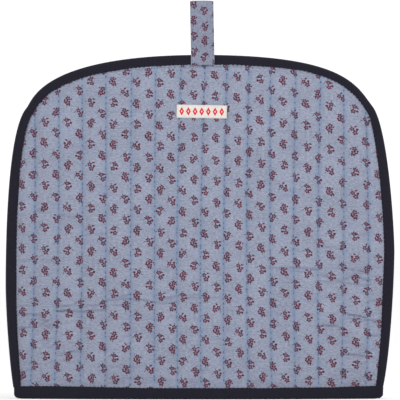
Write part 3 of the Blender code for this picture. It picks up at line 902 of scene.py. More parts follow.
def weave_group():
    tree, given, out = new_group(
        "plain_weave",
        (("Cloth", "NodeSocketVector"), ("Pitch", "NodeSocketFloat"), ("Patch size", "NodeSocketFloat")),
        [(label, "NodeSocketFloat") for label in ("Height", "Thread", "Patch", "Slub")],
    )
    u, v, _ = put(tree, "SeparateXYZ", (given["Cloth"],)).outputs
    arches, squares = [], []
    for axis in (u, v):
        threads = sum_of(tree, "DIVIDE", axis, given["Pitch"])
        squares.append(sum_of(tree, "FLOOR", threads))
        wave = sum_of(tree, "SINE", sum_of(tree, "MULTIPLY", threads, math.pi))
        arches.append(sum_of(tree, "ABSOLUTE", wave))
    parity = sum_of(tree, "FLOORED_MODULO", sum_of(tree, "ADD", *squares), 2.0)
    mix = put(tree, "Mix", {0: parity, 2: arches[0], 3: arches[1]}).outputs[0]
    tree.links.new(mix, out["Height"])
    seeds = put(tree, "CombineXYZ", squares).outputs[0]
    thread = put(tree, "TexWhiteNoise", {"Vector": seeds}).outputs["Value"]
    tree.links.new(thread, out["Thread"])
    scale = sum_of(tree, "DIVIDE", 1.0, given["Patch size"])
    grain = {"Scale": scale, "Detail": PATCH_DETAIL, "Roughness": PATCH_ROUGHNESS}
    patch = put(tree, "TexNoise", {"Vector": given["Cloth"], **grain}).outputs[0]
    tree.links.new(ramp(tree, patch, *PATCH_RANGE), out["Patch"])
    stretched = put(tree, "VectorMath", (given["Cloth"], SLUB_STRETCH), operation="MULTIPLY").outputs[0]
    grain = {"Scale": SLUB_SCALE, "Detail": SLUB_DETAIL}
    tree.links.new(put(tree, "TexNoise", {"Vector": stretched, **grain}).outputs[0], out["Slub"])
    return tree


WEAVE = weave_group()
print("made", WEAVE.name)

# %% [markdown]
# The print is a half-drop repeat of little sprigs: two ring-shaped flowers, a few leaves and some
# specks of ink. Each sprig is charted in millimetres from its own middle. The group folds
# the cloth into cells, one sprig in each, shifts every second column by half a step, and then
# measures how far a point is from each flower and leaf of its cell's sprig. Turning and shifting
# each cell a little, and mirroring one in five, keeps the repeat from looking stamped.

# %% Chart of the print
COLUMN_PITCH = 0.01056
ROW_PITCH = 0.01971
Spot = namedtuple("Spot", "x z size")
Sprig = namedtuple("Sprig", "flowers leaves specks")
POSY = Sprig(
    flowers=(Spot(-1.5, 1.1, 1.75), Spot(0.9, -2.2, 1.95)),
    leaves=(Spot(1.0, 3.3, 0.75), Spot(2.0, 3.8, 0.50), Spot(2.5, 0.6, 1.00)),
    specks=(Spot(-2.4, 4.0, 0.50), Spot(-3.8, -0.6, 0.50), Spot(-4.6, -1.4, 0.40), Spot(3.3, 1.3, 0.40)),
)
BUD = Sprig(
    flowers=(Spot(0.0, 2.4, 1.90), Spot(0.1, -1.6, 2.15)),
    leaves=(Spot(-2.7, 0.7, 0.85), Spot(-2.8, -0.9, 0.75), Spot(2.9, 1.9, 0.70), Spot(1.5, -4.0, 0.60)),
    specks=(Spot(-2.1, 4.6, 0.45), Spot(3.1, -3.2, 0.40), Spot(-0.6, -5.0, 0.45)),
)
SPRAY = Sprig(
    flowers=(Spot(-0.4, 2.1, 1.75), Spot(-0.2, -2.2, 1.85)),
    leaves=(Spot(1.9, 2.0, 0.75), Spot(2.9, 1.4, 0.50), Spot(2.8, -1.0, 1.00), Spot(-2.4, 2.9, 0.60)),
    specks=(Spot(-0.6, 4.7, 0.50), Spot(-3.7, 1.6, 0.50), Spot(-4.6, 1.0, 0.40), Spot(-3.0, -0.9, 0.35)),
)
SPRIGS = (POSY, BUD, SPRAY)
print(len(SPRIGS), "sprigs, every", round(ROW_PITCH / MM, 1), "mm up a column")

# %% Ink of one spot
PETALS = 5.0
PETAL_DEPTH = 0.14
PETAL_GAP_INK = 0.62
HEART = 0.38
HEART_EDGE = (0.7, 1.3)
HEART_INK = 0.60
INK_SOFTNESS = 0.14 * MM
SPRIG_SPREAD = 1.02
SPRIG_FULLER = 1.095


def spot_mask(tree, place_in_cell, spot, petals=False):
    """1 inside a spot of ink and 0 outside. A flower is paler at its heart and between its petals."""
    centre = (spot.x * MM * SPRIG_SPREAD, spot.z * MM * SPRIG_SPREAD, 0.0)
    away = put(tree, "VectorMath", (place_in_cell, centre), operation="SUBTRACT").outputs[0]
    distance = put(tree, "VectorMath", (away,), operation="LENGTH").outputs["Value"]
    size = spot.size * MM * SPRIG_FULLER
    if petals:
        x, z, _ = put(tree, "SeparateXYZ", (away,)).outputs
        angle = sum_of(tree, "MULTIPLY", sum_of(tree, "ARCTAN2", z, x), PETALS)
        gap = sum_of(tree, "COSINE", angle)
        wave = sum_of(tree, "MULTIPLY_ADD", gap, PETAL_DEPTH, 1.0)
        distance = sum_of(tree, "MULTIPLY", distance, wave)
    mask = ramp(tree, distance, size - INK_SOFTNESS, size + INK_SOFTNESS / 2, 1.0, 0.0)
    if not petals:
        return mask
    heart = ramp(tree, distance, *(size * HEART * edge for edge in HEART_EDGE), HEART_INK, 1.0)
    petal = ramp(tree, gap, 0.0, 1.0, 1.0, PETAL_GAP_INK)
    return sum_of(tree, "MULTIPLY", mask, sum_of(tree, "MULTIPLY", heart, petal))


def sprig_masks(tree, place_in_cell, sprig):
    """All the ink of one sprig, and its specks."""
    ink, specks = 0.0, 0.0
    for flower in sprig.flowers:
        ink = sum_of(tree, "MAXIMUM", ink, spot_mask(tree, place_in_cell, flower, petals=True))
    for leaf in sprig.leaves:
        ink = sum_of(tree, "MAXIMUM", ink, spot_mask(tree, place_in_cell, leaf))
    for speck in sprig.specks:
        specks = sum_of(tree, "MAXIMUM", specks, spot_mask(tree, place_in_cell, speck))
    return ink, specks


# %% Where a point lies in the repeat
SPRIG_SHIFT = 0.0012
SPRIG_TURN = 0.9
MIRRORED_ONE_IN = 5.0


def cell_of(tree, cloth, row_pitch):
    """Column and row of a point's cell, and its place from the middle of that cell."""
    u, v, _ = put(tree, "SeparateXYZ", (cloth,)).outputs
    column = sum_of(tree, "ROUND", sum_of(tree, "DIVIDE", u, COLUMN_PITCH))
    drop = sum_of(tree, "MULTIPLY", sum_of(tree, "FLOORED_MODULO", column, 2.0), 0.5)
    rows_up = sum_of(tree, "DIVIDE", v, row_pitch)
    row = sum_of(tree, "ROUND", sum_of(tree, "SUBTRACT", rows_up, drop))
    x = sum_of(tree, "SUBTRACT", u, sum_of(tree, "MULTIPLY", column, COLUMN_PITCH))
    middle = sum_of(tree, "MULTIPLY", sum_of(tree, "ADD", row, drop), row_pitch)
    z = sum_of(tree, "SUBTRACT", v, middle)
    return column, row, put(tree, "CombineXYZ", (x, z)).outputs[0]


def by_chance(tree, column, row, place_in_cell):
    """The same place after its cell's sprig is shifted, mirrored or turned by chance."""
    cell = put(tree, "CombineXYZ", (column, row)).outputs[0]
    chance = put(tree, "TexWhiteNoise", {"Vector": cell})
    shift = strayed(tree, chance.outputs["Color"], SPRIG_SHIFT)
    middle = put(tree, "VectorMath", (place_in_cell, shift), operation="SUBTRACT").outputs[0]
    x, z, _ = put(tree, "SeparateXYZ", (middle,)).outputs
    group = sum_of(tree, "FLOORED_MODULO", sum_of(tree, "ADD", row, column), MIRRORED_ONE_IN)
    mirror = sum_of(tree, "SIGN", sum_of(tree, "SUBTRACT", group, 0.5))
    flat = put(tree, "CombineXYZ", (sum_of(tree, "MULTIPLY", x, mirror), z)).outputs[0]
    turn = sum_of(tree, "SUBTRACT", chance.outputs["Value"], 0.5)
    turn = sum_of(tree, "MULTIPLY", turn, SPRIG_TURN)
    return put(tree, "VectorRotate", {"Vector": flat, "Angle": turn}, rotation_type="Z_AXIS").outputs[0]


# %% [markdown]
# A printing screen never lays a clean edge on woven cotton. So the whole chart is read through a
# fine random shift, which frays each petal. The three sprigs take turns from column to column.

# %% Print group
FRAY_SCALE = 1100.0
FRAY_DETAIL = 1.0
FRAY = 0.0010
SPRIG_STEP = 2.0


def print_group():
    tree, given, out = new_group(
        "sprig_print",
        (("Cloth", "NodeSocketVector"), ("Row pitch", "NodeSocketFloat")),
        (("Ink", "NodeSocketFloat"), ("Specks", "NodeSocketFloat")),
    )
    grain = {"Scale": FRAY_SCALE, "Detail": FRAY_DETAIL}
    fray = put(tree, "TexNoise", {"Vector": given["Cloth"], **grain}).outputs["Color"]
    fray = strayed(tree, fray, FRAY)
    cloth = put(tree, "VectorMath", (given["Cloth"], fray), operation="ADD").outputs[0]
    column, row, place_in_cell = cell_of(tree, cloth, given["Row pitch"])
    turned = by_chance(tree, column, row, place_in_cell)
    count = sum_of(tree, "MULTIPLY_ADD", row, SPRIG_STEP, column)
    kind = sum_of(tree, "FLOORED_MODULO", count, float(len(SPRIGS)))
    ink, specks = 0.0, 0.0
    for number, sprig in enumerate(SPRIGS):
        chosen = sum_of(tree, "COMPARE", kind, float(number), 0.5)
        sprig_ink, sprig_specks = sprig_masks(tree, turned, sprig)
        ink = sum_of(tree, "MULTIPLY_ADD", sprig_ink, chosen, ink)
        specks = sum_of(tree, "MULTIPLY_ADD", sprig_specks, chosen, specks)
    tree.links.new(ink, out["Ink"])
    tree.links.new(specks, out["Specks"])
    return tree


PRINT = print_group()
print("made", PRINT.name, "with", len(PRINT.nodes), "nodes")

# %% [markdown]
# Each material starts the same way: a Principled shader, the piece's own cloth coordinates and the
# weave. What differs is the colour and the feel: how fine the threads are, how broad the patches
# of dye, how high the weave stands, and how it takes the light.

# %% Cloth materials
Feel = namedtuple("Feel", "pitch patch bump roughness sheen shine")
COTTON_FEEL = Feel(pitch=0.00042, patch=0.03, bump=0.25, roughness=0.88, sheen=0.10, shine=0.25)
TAPE_FEEL = Feel(pitch=0.00042, patch=0.012, bump=0.35, roughness=0.80, sheen=0.03, shine=0.12)
LABEL_FEEL = Feel(pitch=0.00030, patch=0.006, bump=0.30, roughness=0.75, sheen=0.05, shine=0.25)
THREAD_DRIFT = 0.2
PATCH_DRIFT = 0.30
SLUB_DRIFT = 2.8
BUMP_HEIGHT = 0.1 * MM


def new_material(name, roughness, sheen):
    """A material with its tree and its shader."""
    made = bpy.data.materials.new(name)
    made.use_nodes = True
    shader = made.node_tree.nodes["Principled BSDF"]
    shader.inputs["Roughness"].default_value = roughness
    shader.inputs["Sheen Weight"].default_value = sheen
    return made, made.node_tree, shader


def raise_bump(tree, shader, height, strength):
    bump = put(tree, "Bump", {"Strength": strength, "Distance": BUMP_HEIGHT, "Height": height})
    tree.links.new(bump.outputs[0], shader.inputs["Normal"])


def cloth_material(name, feel):
    """A new material, its tree, its shader, its weave node and its cloth coordinates."""
    made, tree, shader = new_material(name, feel.roughness, feel.sheen)
    shader.inputs["Specular IOR Level"].default_value = feel.shine
    uv = put(tree, "UVMap", uv_map="cloth").outputs[0]
    sizes = {"Cloth": uv, "Pitch": feel.pitch, "Patch size": feel.patch}
    weave = put(tree, "Group", sizes, node_tree=WEAVE)
    raise_bump(tree, shader, weave.outputs["Height"], feel.bump)
    return made, tree, shader, weave, uv


def shaded(tree, weave, light, dark):
    """The cloth's colour: it drifts from light to dark in patches, slubs and single threads."""
    share = sum_of(tree, "MULTIPLY_ADD", weave.outputs["Thread"], THREAD_DRIFT, 0.5 - THREAD_DRIFT / 2)
    for mask, drift in (("Patch", PATCH_DRIFT), ("Slub", SLUB_DRIFT)):
        around_zero = sum_of(tree, "SUBTRACT", weave.outputs[mask], 0.5)
        share = sum_of(tree, "MULTIPLY_ADD", around_zero, drift, share)
    return blend(tree, put(tree, "Clamp", (share,)).outputs[0], dark, light)


# %% [markdown]
# The printed cotton is laid up from below: the blue-grey ground, a painted bluish shade in the
# creases and wrinkle troughs, the blue bands along the rows, which are partly the quilting thread
# lying under and over the cloth and partly painted shade in the stitched trough, grey specks, and
# last the ink. The ink is red in most places and plum where it lies thick, and the slubs of the
# cloth say where.

# %% Printed cotton
COTTON_LIGHT = (0.267, 0.290, 0.376)
COTTON_DARK = (0.168, 0.185, 0.244)
# Painted shade: the strap's cotton is the panels' cotton made darker, so that the loop looks shaded.
STRAP_SHADED_LIGHT = (0.222, 0.240, 0.319)
STRAP_SHADED_DARK = (0.141, 0.154, 0.208)
# The bands along the rows: thread colour and painted shade of the stitched trough together.
THREAD_AND_SHADE_BLUE = (0.176, 0.226, 0.326)
# Painted bluish shade for the creases and the wrinkle troughs, and how strong it is at most.
FOLD_SHADE_BLUE = (0.128, 0.150, 0.268)
FOLD_SHADE_SHARE = 0.36
INK_RED = (0.100, 0.0010, 0.021)
INK_PLUM = (0.020, 0.0006, 0.010)
PLUM_TO_RED = (0.42, 0.53)
INK_COVERS = 0.97
SPECK_GREY = (0.048, 0.046, 0.078)
SPECK_COVERS = 0.85


def printed_cotton(name, light, dark, row_pitch):
    made, tree, shader, weave, uv = cloth_material(name, COTTON_FEEL)
    colour = shaded(tree, weave, light, dark)
    thread_and_shade, folded = (
        put(tree, "Attribute", attribute_name=label).outputs["Fac"] for label in ("thread_and_shade", "folded")
    )
    # Painted shade: bluish in the creases and wrinkle troughs.
    colour = blend(tree, sum_of(tree, "MULTIPLY", folded, FOLD_SHADE_SHARE), colour, FOLD_SHADE_BLUE)
    # Thread colour and painted trough shade along the rows of stitches.
    colour = blend(tree, thread_and_shade, colour, THREAD_AND_SHADE_BLUE)
    motif = put(tree, "Group", {"Cloth": uv, "Row pitch": row_pitch}, node_tree=PRINT)
    specks = sum_of(tree, "MULTIPLY", motif.outputs["Specks"], SPECK_COVERS)
    colour = blend(tree, specks, colour, SPECK_GREY)
    ink = sum_of(tree, "MULTIPLY", motif.outputs["Ink"], INK_COVERS)
    dye = blend(tree, ramp(tree, weave.outputs["Slub"], *PLUM_TO_RED), INK_PLUM, INK_RED)
    tree.links.new(blend(tree, ink, colour, dye), shader.inputs["Base Color"])
    return made


STRAP_ROW_PITCH = 0.0145
PRINTED = printed_cotton("printed_cotton", COTTON_LIGHT, COTTON_DARK, ROW_PITCH)
# A darker copy of the printed cotton for the loop, as painted shade.
STRAP_PRINTED_SHADED = printed_cotton("printed_cotton_strap_shaded", STRAP_SHADED_LIGHT, STRAP_SHADED_DARK, STRAP_ROW_PITCH)
print("made", PRINTED.name, "and", STRAP_PRINTED_SHADED.name)

# %% [markdown]
# The inside of the cosy and the navy tape are plain cloth. Thread has no weave: a fine slanting
# wave stands for its twist, and it is too thin to need cloth coordinates.

# %% Plain cloth and threads
NAVY_LIGHT = (0.0115, 0.0109, 0.0195)
NAVY_DARK = (0.0086, 0.0082, 0.0147)
THREAD_BLUE = (0.080, 0.122, 0.222)
THREAD_PALE = (0.130, 0.155, 0.225)
THREAD_NAVY = (0.022, 0.021, 0.032)
CREAM_LIGHT = (0.62, 0.595, 0.555)
CREAM_DARK = (0.54, 0.507, 0.470)
THREAD_ROUGHNESS = 0.6
THREAD_SHEEN = 0.1
THREAD_SHADE = 0.75
THREAD_PATCHES = 250.0
TWIST_SCALE = 700.0
TWIST_BUMP = 0.4


def plain_cloth(name, light, dark, feel):
    made, tree, shader, weave, _ = cloth_material(name, feel)
    tree.links.new(shaded(tree, weave, light, dark), shader.inputs["Base Color"])
    return made


def thread_material(name, colour):
    """Twisted thread, a little darker in some places."""
    made, tree, shader = new_material(name, THREAD_ROUGHNESS, THREAD_SHEEN)
    where = put(tree, "TexCoord").outputs["Object"]
    twist = put(tree, "TexWave", {"Vector": where, "Scale": TWIST_SCALE}, bands_direction="DIAGONAL")
    raise_bump(tree, shader, twist.outputs["Fac"], TWIST_BUMP)
    patch = put(tree, "TexNoise", {"Vector": where, "Scale": THREAD_PATCHES}).outputs[0]
    dark = tuple(part * THREAD_SHADE for part in colour)
    tree.links.new(blend(tree, patch, dark, colour), shader.inputs["Base Color"])
    return made


LINING = plain_cloth("plain_cotton", COTTON_LIGHT, COTTON_DARK, COTTON_FEEL)
NAVY = plain_cloth("navy_tape", NAVY_LIGHT, NAVY_DARK, TAPE_FEEL)
BLUE_THREAD = thread_material("blue_thread", THREAD_BLUE)
NAVY_THREAD = thread_material("navy_thread", THREAD_NAVY)
CREAM_THREAD = thread_material("cream_thread", CREAM_LIGHT)
PALE_THREAD = thread_material("pale_blue_thread", THREAD_PALE)
plain_ones = (LINING, NAVY, BLUE_THREAD, NAVY_THREAD, CREAM_THREAD, PALE_THREAD)
print("made", ", ".join(material.name for material in plain_ones))

# %% [markdown]
# The label is woven in two colours. A lozenge is the set of points whose shares of its half width
# and of its half height add up to less than one, and a second, smaller one inside it is left open.

# %% Label material
LOZENGE_PITCH = 0.0062
LOZENGE_HALF = (0.0023, 0.0040)
LOZENGE_LINE = 0.70
LOZENGE_EDGE = (0.92, 1.08)
LOZENGES_HALF_LENGTH = 0.0207
WOVEN_RED = (0.55, 0.006, 0.020)


def label_material():
    """Cream tape with a row of open woven lozenges."""
    made, tree, shader, weave, uv = cloth_material("woven_label", LABEL_FEEL)
    ground = shaded(tree, weave, CREAM_LIGHT, CREAM_DARK)
    u, v, _ = put(tree, "SeparateXYZ", (uv,)).outputs
    step = sum_of(tree, "ROUND", sum_of(tree, "DIVIDE", u, LOZENGE_PITCH))
    from_middle = sum_of(tree, "ABSOLUTE", sum_of(tree, "MULTIPLY_ADD", step, -LOZENGE_PITCH, u))
    across = sum_of(tree, "DIVIDE", from_middle, LOZENGE_HALF[0])
    up = sum_of(tree, "DIVIDE", sum_of(tree, "ABSOLUTE", v), LOZENGE_HALF[1])
    reach = sum_of(tree, "ADD", across, up)
    inside = ramp(tree, reach, *LOZENGE_EDGE, 1.0, 0.0)
    line = ramp(tree, reach, *(edge - LOZENGE_LINE for edge in LOZENGE_EDGE))
    from_centre = sum_of(tree, "ABSOLUTE", u)
    ends = ramp(tree, from_centre, LOZENGES_HALF_LENGTH, LOZENGES_HALF_LENGTH + MM / 2, 1.0, 0.0)
    mark = sum_of(tree, "MULTIPLY", sum_of(tree, "MULTIPLY", inside, line), ends)
    tree.links.new(blend(tree, mark, ground, WOVEN_RED), shader.inputs["Base Color"])
    return made


LABEL_MATERIAL = label_material()
print("made", LABEL_MATERIAL.name)

# %% Make the two panels
panels = {face.name: quilted_panel(face, PRINTED, LINING) for face in (FRONT, BACK)}
for piece in panels.values():
    print(piece.name, len(piece.data.polygons), "faces")

# %% [markdown]
# ## Stitches
#
# A running stitch shows as a short dash of thread that dives into the cloth at both ends. One
# stitch is a small stretched sphere of a few dozen faces, and it is copied to every place where
# the needle came up. A Geometry Nodes instance would do the same, but its copies would have to be
# made real before export, so the copies are joined here.

# %% One stitch and its copies
Stitch = namedtuple("Stitch", "start end outward")
THREAD_SIDES = 6
THREAD_RINGS = 5


def stitch_shape(thickness):
    """A spindle of thread, one metre long, to be shortened for each stitch."""
    shape = bmesh.new()
    bmesh.ops.create_uvsphere(shape, u_segments=THREAD_SIDES, v_segments=THREAD_RINGS, radius=0.5)
    bmesh.ops.scale(shape, vec=(thickness, thickness, 1.0), verts=shape.verts)
    return as_mesh(shape, "stitch")


def sewn(name, stitches, thickness, thread):
    """One piece out of many stitches."""
    pattern = stitch_shape(thickness)
    shape = bmesh.new()
    for one in stitches:
        start, end = Vector(one.start), Vector(one.end)
        along = (end - start).normalized()
        side = along.cross(Vector(one.outward)).normalized()
        turn = Matrix((side, side.cross(along) * -1.0, along)).transposed().to_4x4()
        length = Matrix.Diagonal((1.0, 1.0, (end - start).length, 1.0))
        copy = pattern.copy()
        copy.transform(Matrix.Translation((start + end) / 2) @ turn @ length)
        shape.from_mesh(copy)
        bpy.data.meshes.remove(copy)
    bpy.data.meshes.remove(pattern)
    bmesh.ops.recalc_face_normals(shape, faces=shape.faces)
    data = as_mesh(shape, name)
    print(name, len(stitches), "stitches,", len(data.polygons), "faces")
    return finish_piece(name, data, thread)


# %% Quilting stitches
QUILTING_THREAD = 0.00140
STITCH_SHARE = 0.40
STITCH_JITTER = 0.30
STITCH_LENGTHS = (0.85, 1.15)
SUNK = 0.00008


def quilting_stitches(face):
    chance = np.random.default_rng(face.seed + STITCH_SEED)
    stitches = []
    for row in range(len(STITCH_ROWS)):
        top = float(arch_z(ROW_TOP[row]))
        height = top - HEM_HEIGHT
        middles = np.arange(HEM_HEIGHT + ROW_MARGIN + row_phase(row), top - ROW_MARGIN, STITCH_PITCH)
        middles = middles + chance.uniform(-1.0, 1.0, len(middles)) * STITCH_JITTER * STITCH_PITCH
        halves = chance.uniform(*STITCH_LENGTHS, len(middles)) * STITCH_PITCH * STITCH_SHARE / 2
        lows = (middles - halves - HEM_HEIGHT) / height
        highs = (middles + halves - HEM_HEIGHT) / height
        starts = cloth_point(np.full(len(lows), row), np.zeros(len(lows)), lows, face)
        ends = cloth_point(np.full(len(lows), row), np.zeros(len(lows)), highs, face)
        outward = np.array((0.0, face.facing, 0.0))
        for start, end in zip(starts + outward * SUNK, ends + outward * SUNK):
            slant = chance.uniform(-1.0, 1.0) * STITCH_JITTER * MM
            stitches.append(Stitch(start + (slant, 0.0, 0.0), end - (slant, 0.0, 0.0), outward))
    return sewn("quilting_stitches_" + face.name, stitches, QUILTING_THREAD, BLUE_THREAD)


quilting = {face.name: quilting_stitches(face) for face in (FRONT, BACK)}

# %% [markdown]
# Along the crown a second row of small stitches runs just below the tape. It holds the panels
# and the ends of the loop together before the tape goes on. To sew on the finished surface, a
# helper finds which channel a point is in, and how high the cloth stands there.

# %% A point on the finished cloth
def cloth_at(x, z, face):
    """The point of the outer face over (x, z)."""
    x, z = np.asarray(x, float), np.asarray(z, float)
    up = (z - HEM_HEIGHT) / (arch_z(x) - HEM_HEIGHT)
    rows = np.array([row_x(index, up) for index in range(len(STITCH_ROWS))])
    channel = (rows <= x).sum(axis=0) - 1
    before, after = np.maximum(channel, 0), np.minimum(channel + 1, LAST_ROW)
    left_row, right_row = (np.take_along_axis(rows, one[None], 0)[0] for one in (before, after))
    left = np.where(channel < 0, side_x(z, -1.0), left_row)
    right = np.where(channel >= LAST_ROW, side_x(z, 1.0), right_row)
    share = (x - left) / (right - left)
    height = relief(channel, share, x, z, right - left, face)
    y = stand_off(x, z, face.dents) + SEWN_THICKNESS / 2 + height
    return np.stack((x, y * face.facing, z), axis=-1)


print("under the label the cloth stands at y", round(float(cloth_at(0.0, 0.267, FRONT)[1]) / MM, 1), "mm")

# %% Stitches below the crown
CROWN_PITCH = 0.0034
CROWN_THREAD = 0.00085
CROWN_STITCH_SHARE = 0.58


def crown_stitches(face):
    chance = np.random.default_rng(face.seed + CROWN_STITCH_SEED)
    middles = np.arange(*CROWN_ROW_ENDS, CROWN_PITCH)
    middles = middles + chance.uniform(-1.0, 1.0, len(middles)) * STITCH_JITTER * CROWN_PITCH
    half = CROWN_PITCH * CROWN_STITCH_SHARE / 2
    starts = cloth_at(middles - half, arch_z(middles - half) - CROWN_ROW_BELOW, face)
    ends = cloth_at(middles + half, arch_z(middles + half) - CROWN_ROW_BELOW, face)
    outward = np.array((0.0, face.facing, 0.0))
    stitches = [Stitch(a + outward * SUNK, b + outward * SUNK, outward) for a, b in zip(starts, ends)]
    return sewn("crown_stitches_" + face.name, stitches, CROWN_THREAD, BLUE_THREAD)


crown_rows = {face.name: crown_stitches(face) for face in (FRONT, BACK)}

# %% [markdown]
# ## The taped rim
#
# Double-fold tape: a strip whose raw edges are turned in, folded again over the seam. It could be
# a solid tube with a groove, but then the folds wouldn't show at its ends and edges. Here the strip
# itself is the mesh. A flat grid is laid along the arch, its width follows the folded profile, and
# a Solidify modifier gives it the thickness of the cloth.
#
# A point of the profile says how deep it lies below the rim, as a fixed part and a share of the
# tape's width, how far it is from the seam's plane, and how much it belongs to the outer layer,
# where the thread's pull shows.

# %% Profile of the folded tape
TAPE_CLOTH = 0.00036
CHANNEL_HALF = STACK_HALF + CLEARANCE
RIM_HALF = CHANNEL_HALF + TAPE
OUTER_LAYER = RIM_HALF - TAPE_CLOTH / 2
INNER_GAP = CLEARANCE / 6
INNER_LAYER = CHANNEL_HALF + TAPE_CLOTH / 2 + INNER_GAP
FOLD_RADIUS = (OUTER_LAYER - INNER_LAYER) / 2
NOSE_ROUNDNESS = 0.95
NOSE_DEPTH = NOSE_ROUNDNESS * RIM_HALF
RAW_DEPTH = 0.0015
NOSE_STEPS = 9
FOLD_STEPS = 5
LAYER_STEPS = 5
Spine = namedtuple("Spine", "fixed share offset outer")


def tape_half():
    """Half of the profile, from the raw edge to the nose. Depth is fixed + share * width."""
    points = []
    for step in np.linspace(0.0, 1.0, LAYER_STEPS):
        points.append(Spine(between(RAW_DEPTH, -FOLD_RADIUS, step), step, INNER_LAYER, 0.0))
    for angle in np.linspace(-math.pi / 2, math.pi / 2, FOLD_STEPS + 2)[1:-1]:
        depth = FOLD_RADIUS * (math.cos(angle) - 1.0)
        middle = (OUTER_LAYER + INNER_LAYER) / 2
        points.append(Spine(depth, 1.0, middle + FOLD_RADIUS * math.sin(angle), 0.5))
    for step in np.linspace(1.0, 0.0, LAYER_STEPS):
        points.append(Spine(between(NOSE_DEPTH, -FOLD_RADIUS, step), step, OUTER_LAYER, 1.0))
    for angle in np.linspace(math.pi / 2, 0.0, NOSE_STEPS)[1:]:
        depth = TAPE_CLOTH / 2 + (NOSE_DEPTH - TAPE_CLOTH / 2) * (1.0 - math.cos(angle))
        points.append(Spine(depth, 0.0, OUTER_LAYER * math.sin(angle), math.sin(angle)))
    return points


def both_sides(half):
    """The whole profile: the half, and its mirror image after the nose."""
    return half + [one._replace(offset=-one.offset) for one in reversed(half[:-1])]


def as_arrays(profile):
    """The four values of all profile points, each as a row of numbers."""
    return [np.array(column)[None, :] for column in zip(*profile)]


tape_points = len(both_sides(tape_half()))
print("the seam tape is", round(2 * RIM_HALF / MM, 1), "mm thick, with", tape_points, "points across")

# %% [markdown]
# Slip stitches hold both folded edges down. Each one draws the fold in a little, so the edge is a
# row of small scallops, none quite like the next, and fine drags run across the tape. At both
# ends the tape is thinner, because it is tucked into the hem tape.

# %% Edges and ends of the seam tape
RIM_STATIONS = 860
TUCKED_UNDER = 0.0020
TUCK_FADE = 0.0030
TUCK_THINNER = 0.28
TUCK_INSET = 0.0011
SLIP_PITCH = 0.0040
BITE_SHARPNESS = 3
SCALLOP = 0.00062
SCALLOP_UNEVEN = 1.1
SCALLOP_CELL = 0.0052
EDGE_DRIFT = 0.00030
EDGE_CELL = 0.012
OWN_SIDE = 0.5
RIM_SEED = 3
DRAG_SEED = 5
UNEVEN_SEED = 10
DRAG = 0.00016
DRAG_CELL = (0.0045, 0.0080)
DRAG_SLANT = 0.7
SLIP_DIMPLE = 0.00022
SLIP_DIMPLE_HALF = 0.0012


def rim_path():
    """Points of the outer edge from one lower end to the other, and the inward normals there."""
    foot = HEM_HEIGHT - TUCKED_UNDER
    kept = OUTLINE[OUTLINE[:, 1] > foot]
    path = spaced(kept, RIM_STATIONS)
    inwards = inward_normals(path)
    level = np.array(((1.0, 0.0), (-1.0, 0.0)))
    for end, normal in zip((0, -1), level):
        inwards[end] = normal
    return path, inwards, walked_along(path)


def slip_wave(walked):
    """1 at each slip stitch and 0 half way to the next."""
    return (0.5 + 0.5 * np.cos(2.0 * np.pi * walked / SLIP_PITCH)) ** BITE_SHARPNESS


def drift_along(walk, facing, cell, seed):
    """A random drift along a tape, with its own course on the front and on the back."""
    return soft_noise(walk, facing * OWN_SIDE, cell, 1.0, seed)


def sewn_edge(walk, facing, pulled, seed):
    """How far the sewn edge of a tape strays, as each slip stitch draws it in by its own amount."""
    strays = EDGE_DRIFT * drift_along(walk, facing, EDGE_CELL, seed)
    uneven = 1.0 + SCALLOP_UNEVEN * drift_along(walk, facing, SCALLOP_CELL, seed + UNEVEN_SEED)
    return strays - SCALLOP * uneven * (0.5 - pulled)


rim_length = float(rim_path()[2][-1])
print("the rim takes", int(rim_length / SLIP_PITCH), "slip stitches on each side")


# %% The tape over the arch
def seam_tape():
    path, inwards, walked = rim_path()
    fixed, share, offset, outer = as_arrays(both_sides(tape_half()))
    facing = np.sign(offset)
    walk = np.repeat(walked[:, None], offset.shape[1], axis=1)
    pulled = slip_wave(walked)[:, None]
    width = tape_width(path)[:, None] + sewn_edge(walk, facing, pulled, RIM_SEED)
    depth = fixed + share * width
    drag = DRAG * soft_noise(walk + DRAG_SLANT * depth, depth * facing, *DRAG_CELL, DRAG_SEED)
    dimple = SLIP_DIMPLE * pulled * np.exp(-(((width - depth) / SLIP_DIMPLE_HALF) ** 2))
    tucked = smooth(1.0 - (path[:, 1] - HEM_HEIGHT + TUCKED_UNDER) / TUCK_FADE)[:, None]
    y = offset * (1.0 - TUCK_THINNER * tucked) + outer * facing * (drag - dimple)
    depth = depth + TUCK_INSET * tucked * (1.0 - share)
    x = path[:, :1] + inwards[:, :1] * depth
    z = path[:, 1:] + inwards[:, 1:] * depth
    points = np.stack(np.broadcast_arrays(x, y, z), axis=-1)
    across = walked_along(np.column_stack((depth[0], offset[0])))
    return strip("seam_tape", points, across, walked, NAVY)


def thicken(piece, thickness):
    """Gives a sheet the thickness of its cloth, half of it to each side."""
    cloth = piece.modifiers.new("cloth", "SOLIDIFY")
    cloth.thickness = thickness
    cloth.offset = 0.0


def strip(name, points, across, walked, surface, closed=False):
    """A strip of cloth through rows of points: a grid, its cloth coordinates and its thickness."""
    rows, columns = points.shape[:2]
    data = as_mesh(numbered_grid(columns - 1, rows - 1), name)
    i, j = numbers(data, "column"), numbers(data, "row")
    place(data, points[j, i])
    keep_uv(data, across[i], walked[j])
    drop_numbers(data)
    if closed:
        sew_shut(data)
    piece = finish_piece(name, data, surface)
    thicken(piece, TAPE_CLOTH)
    weave_width = round(float(across[-1]) / MM, 1)
    print(name, rows, "by", columns, "points, with the weave laid over", weave_width, "mm across")
    return piece


seam_binding = seam_tape()

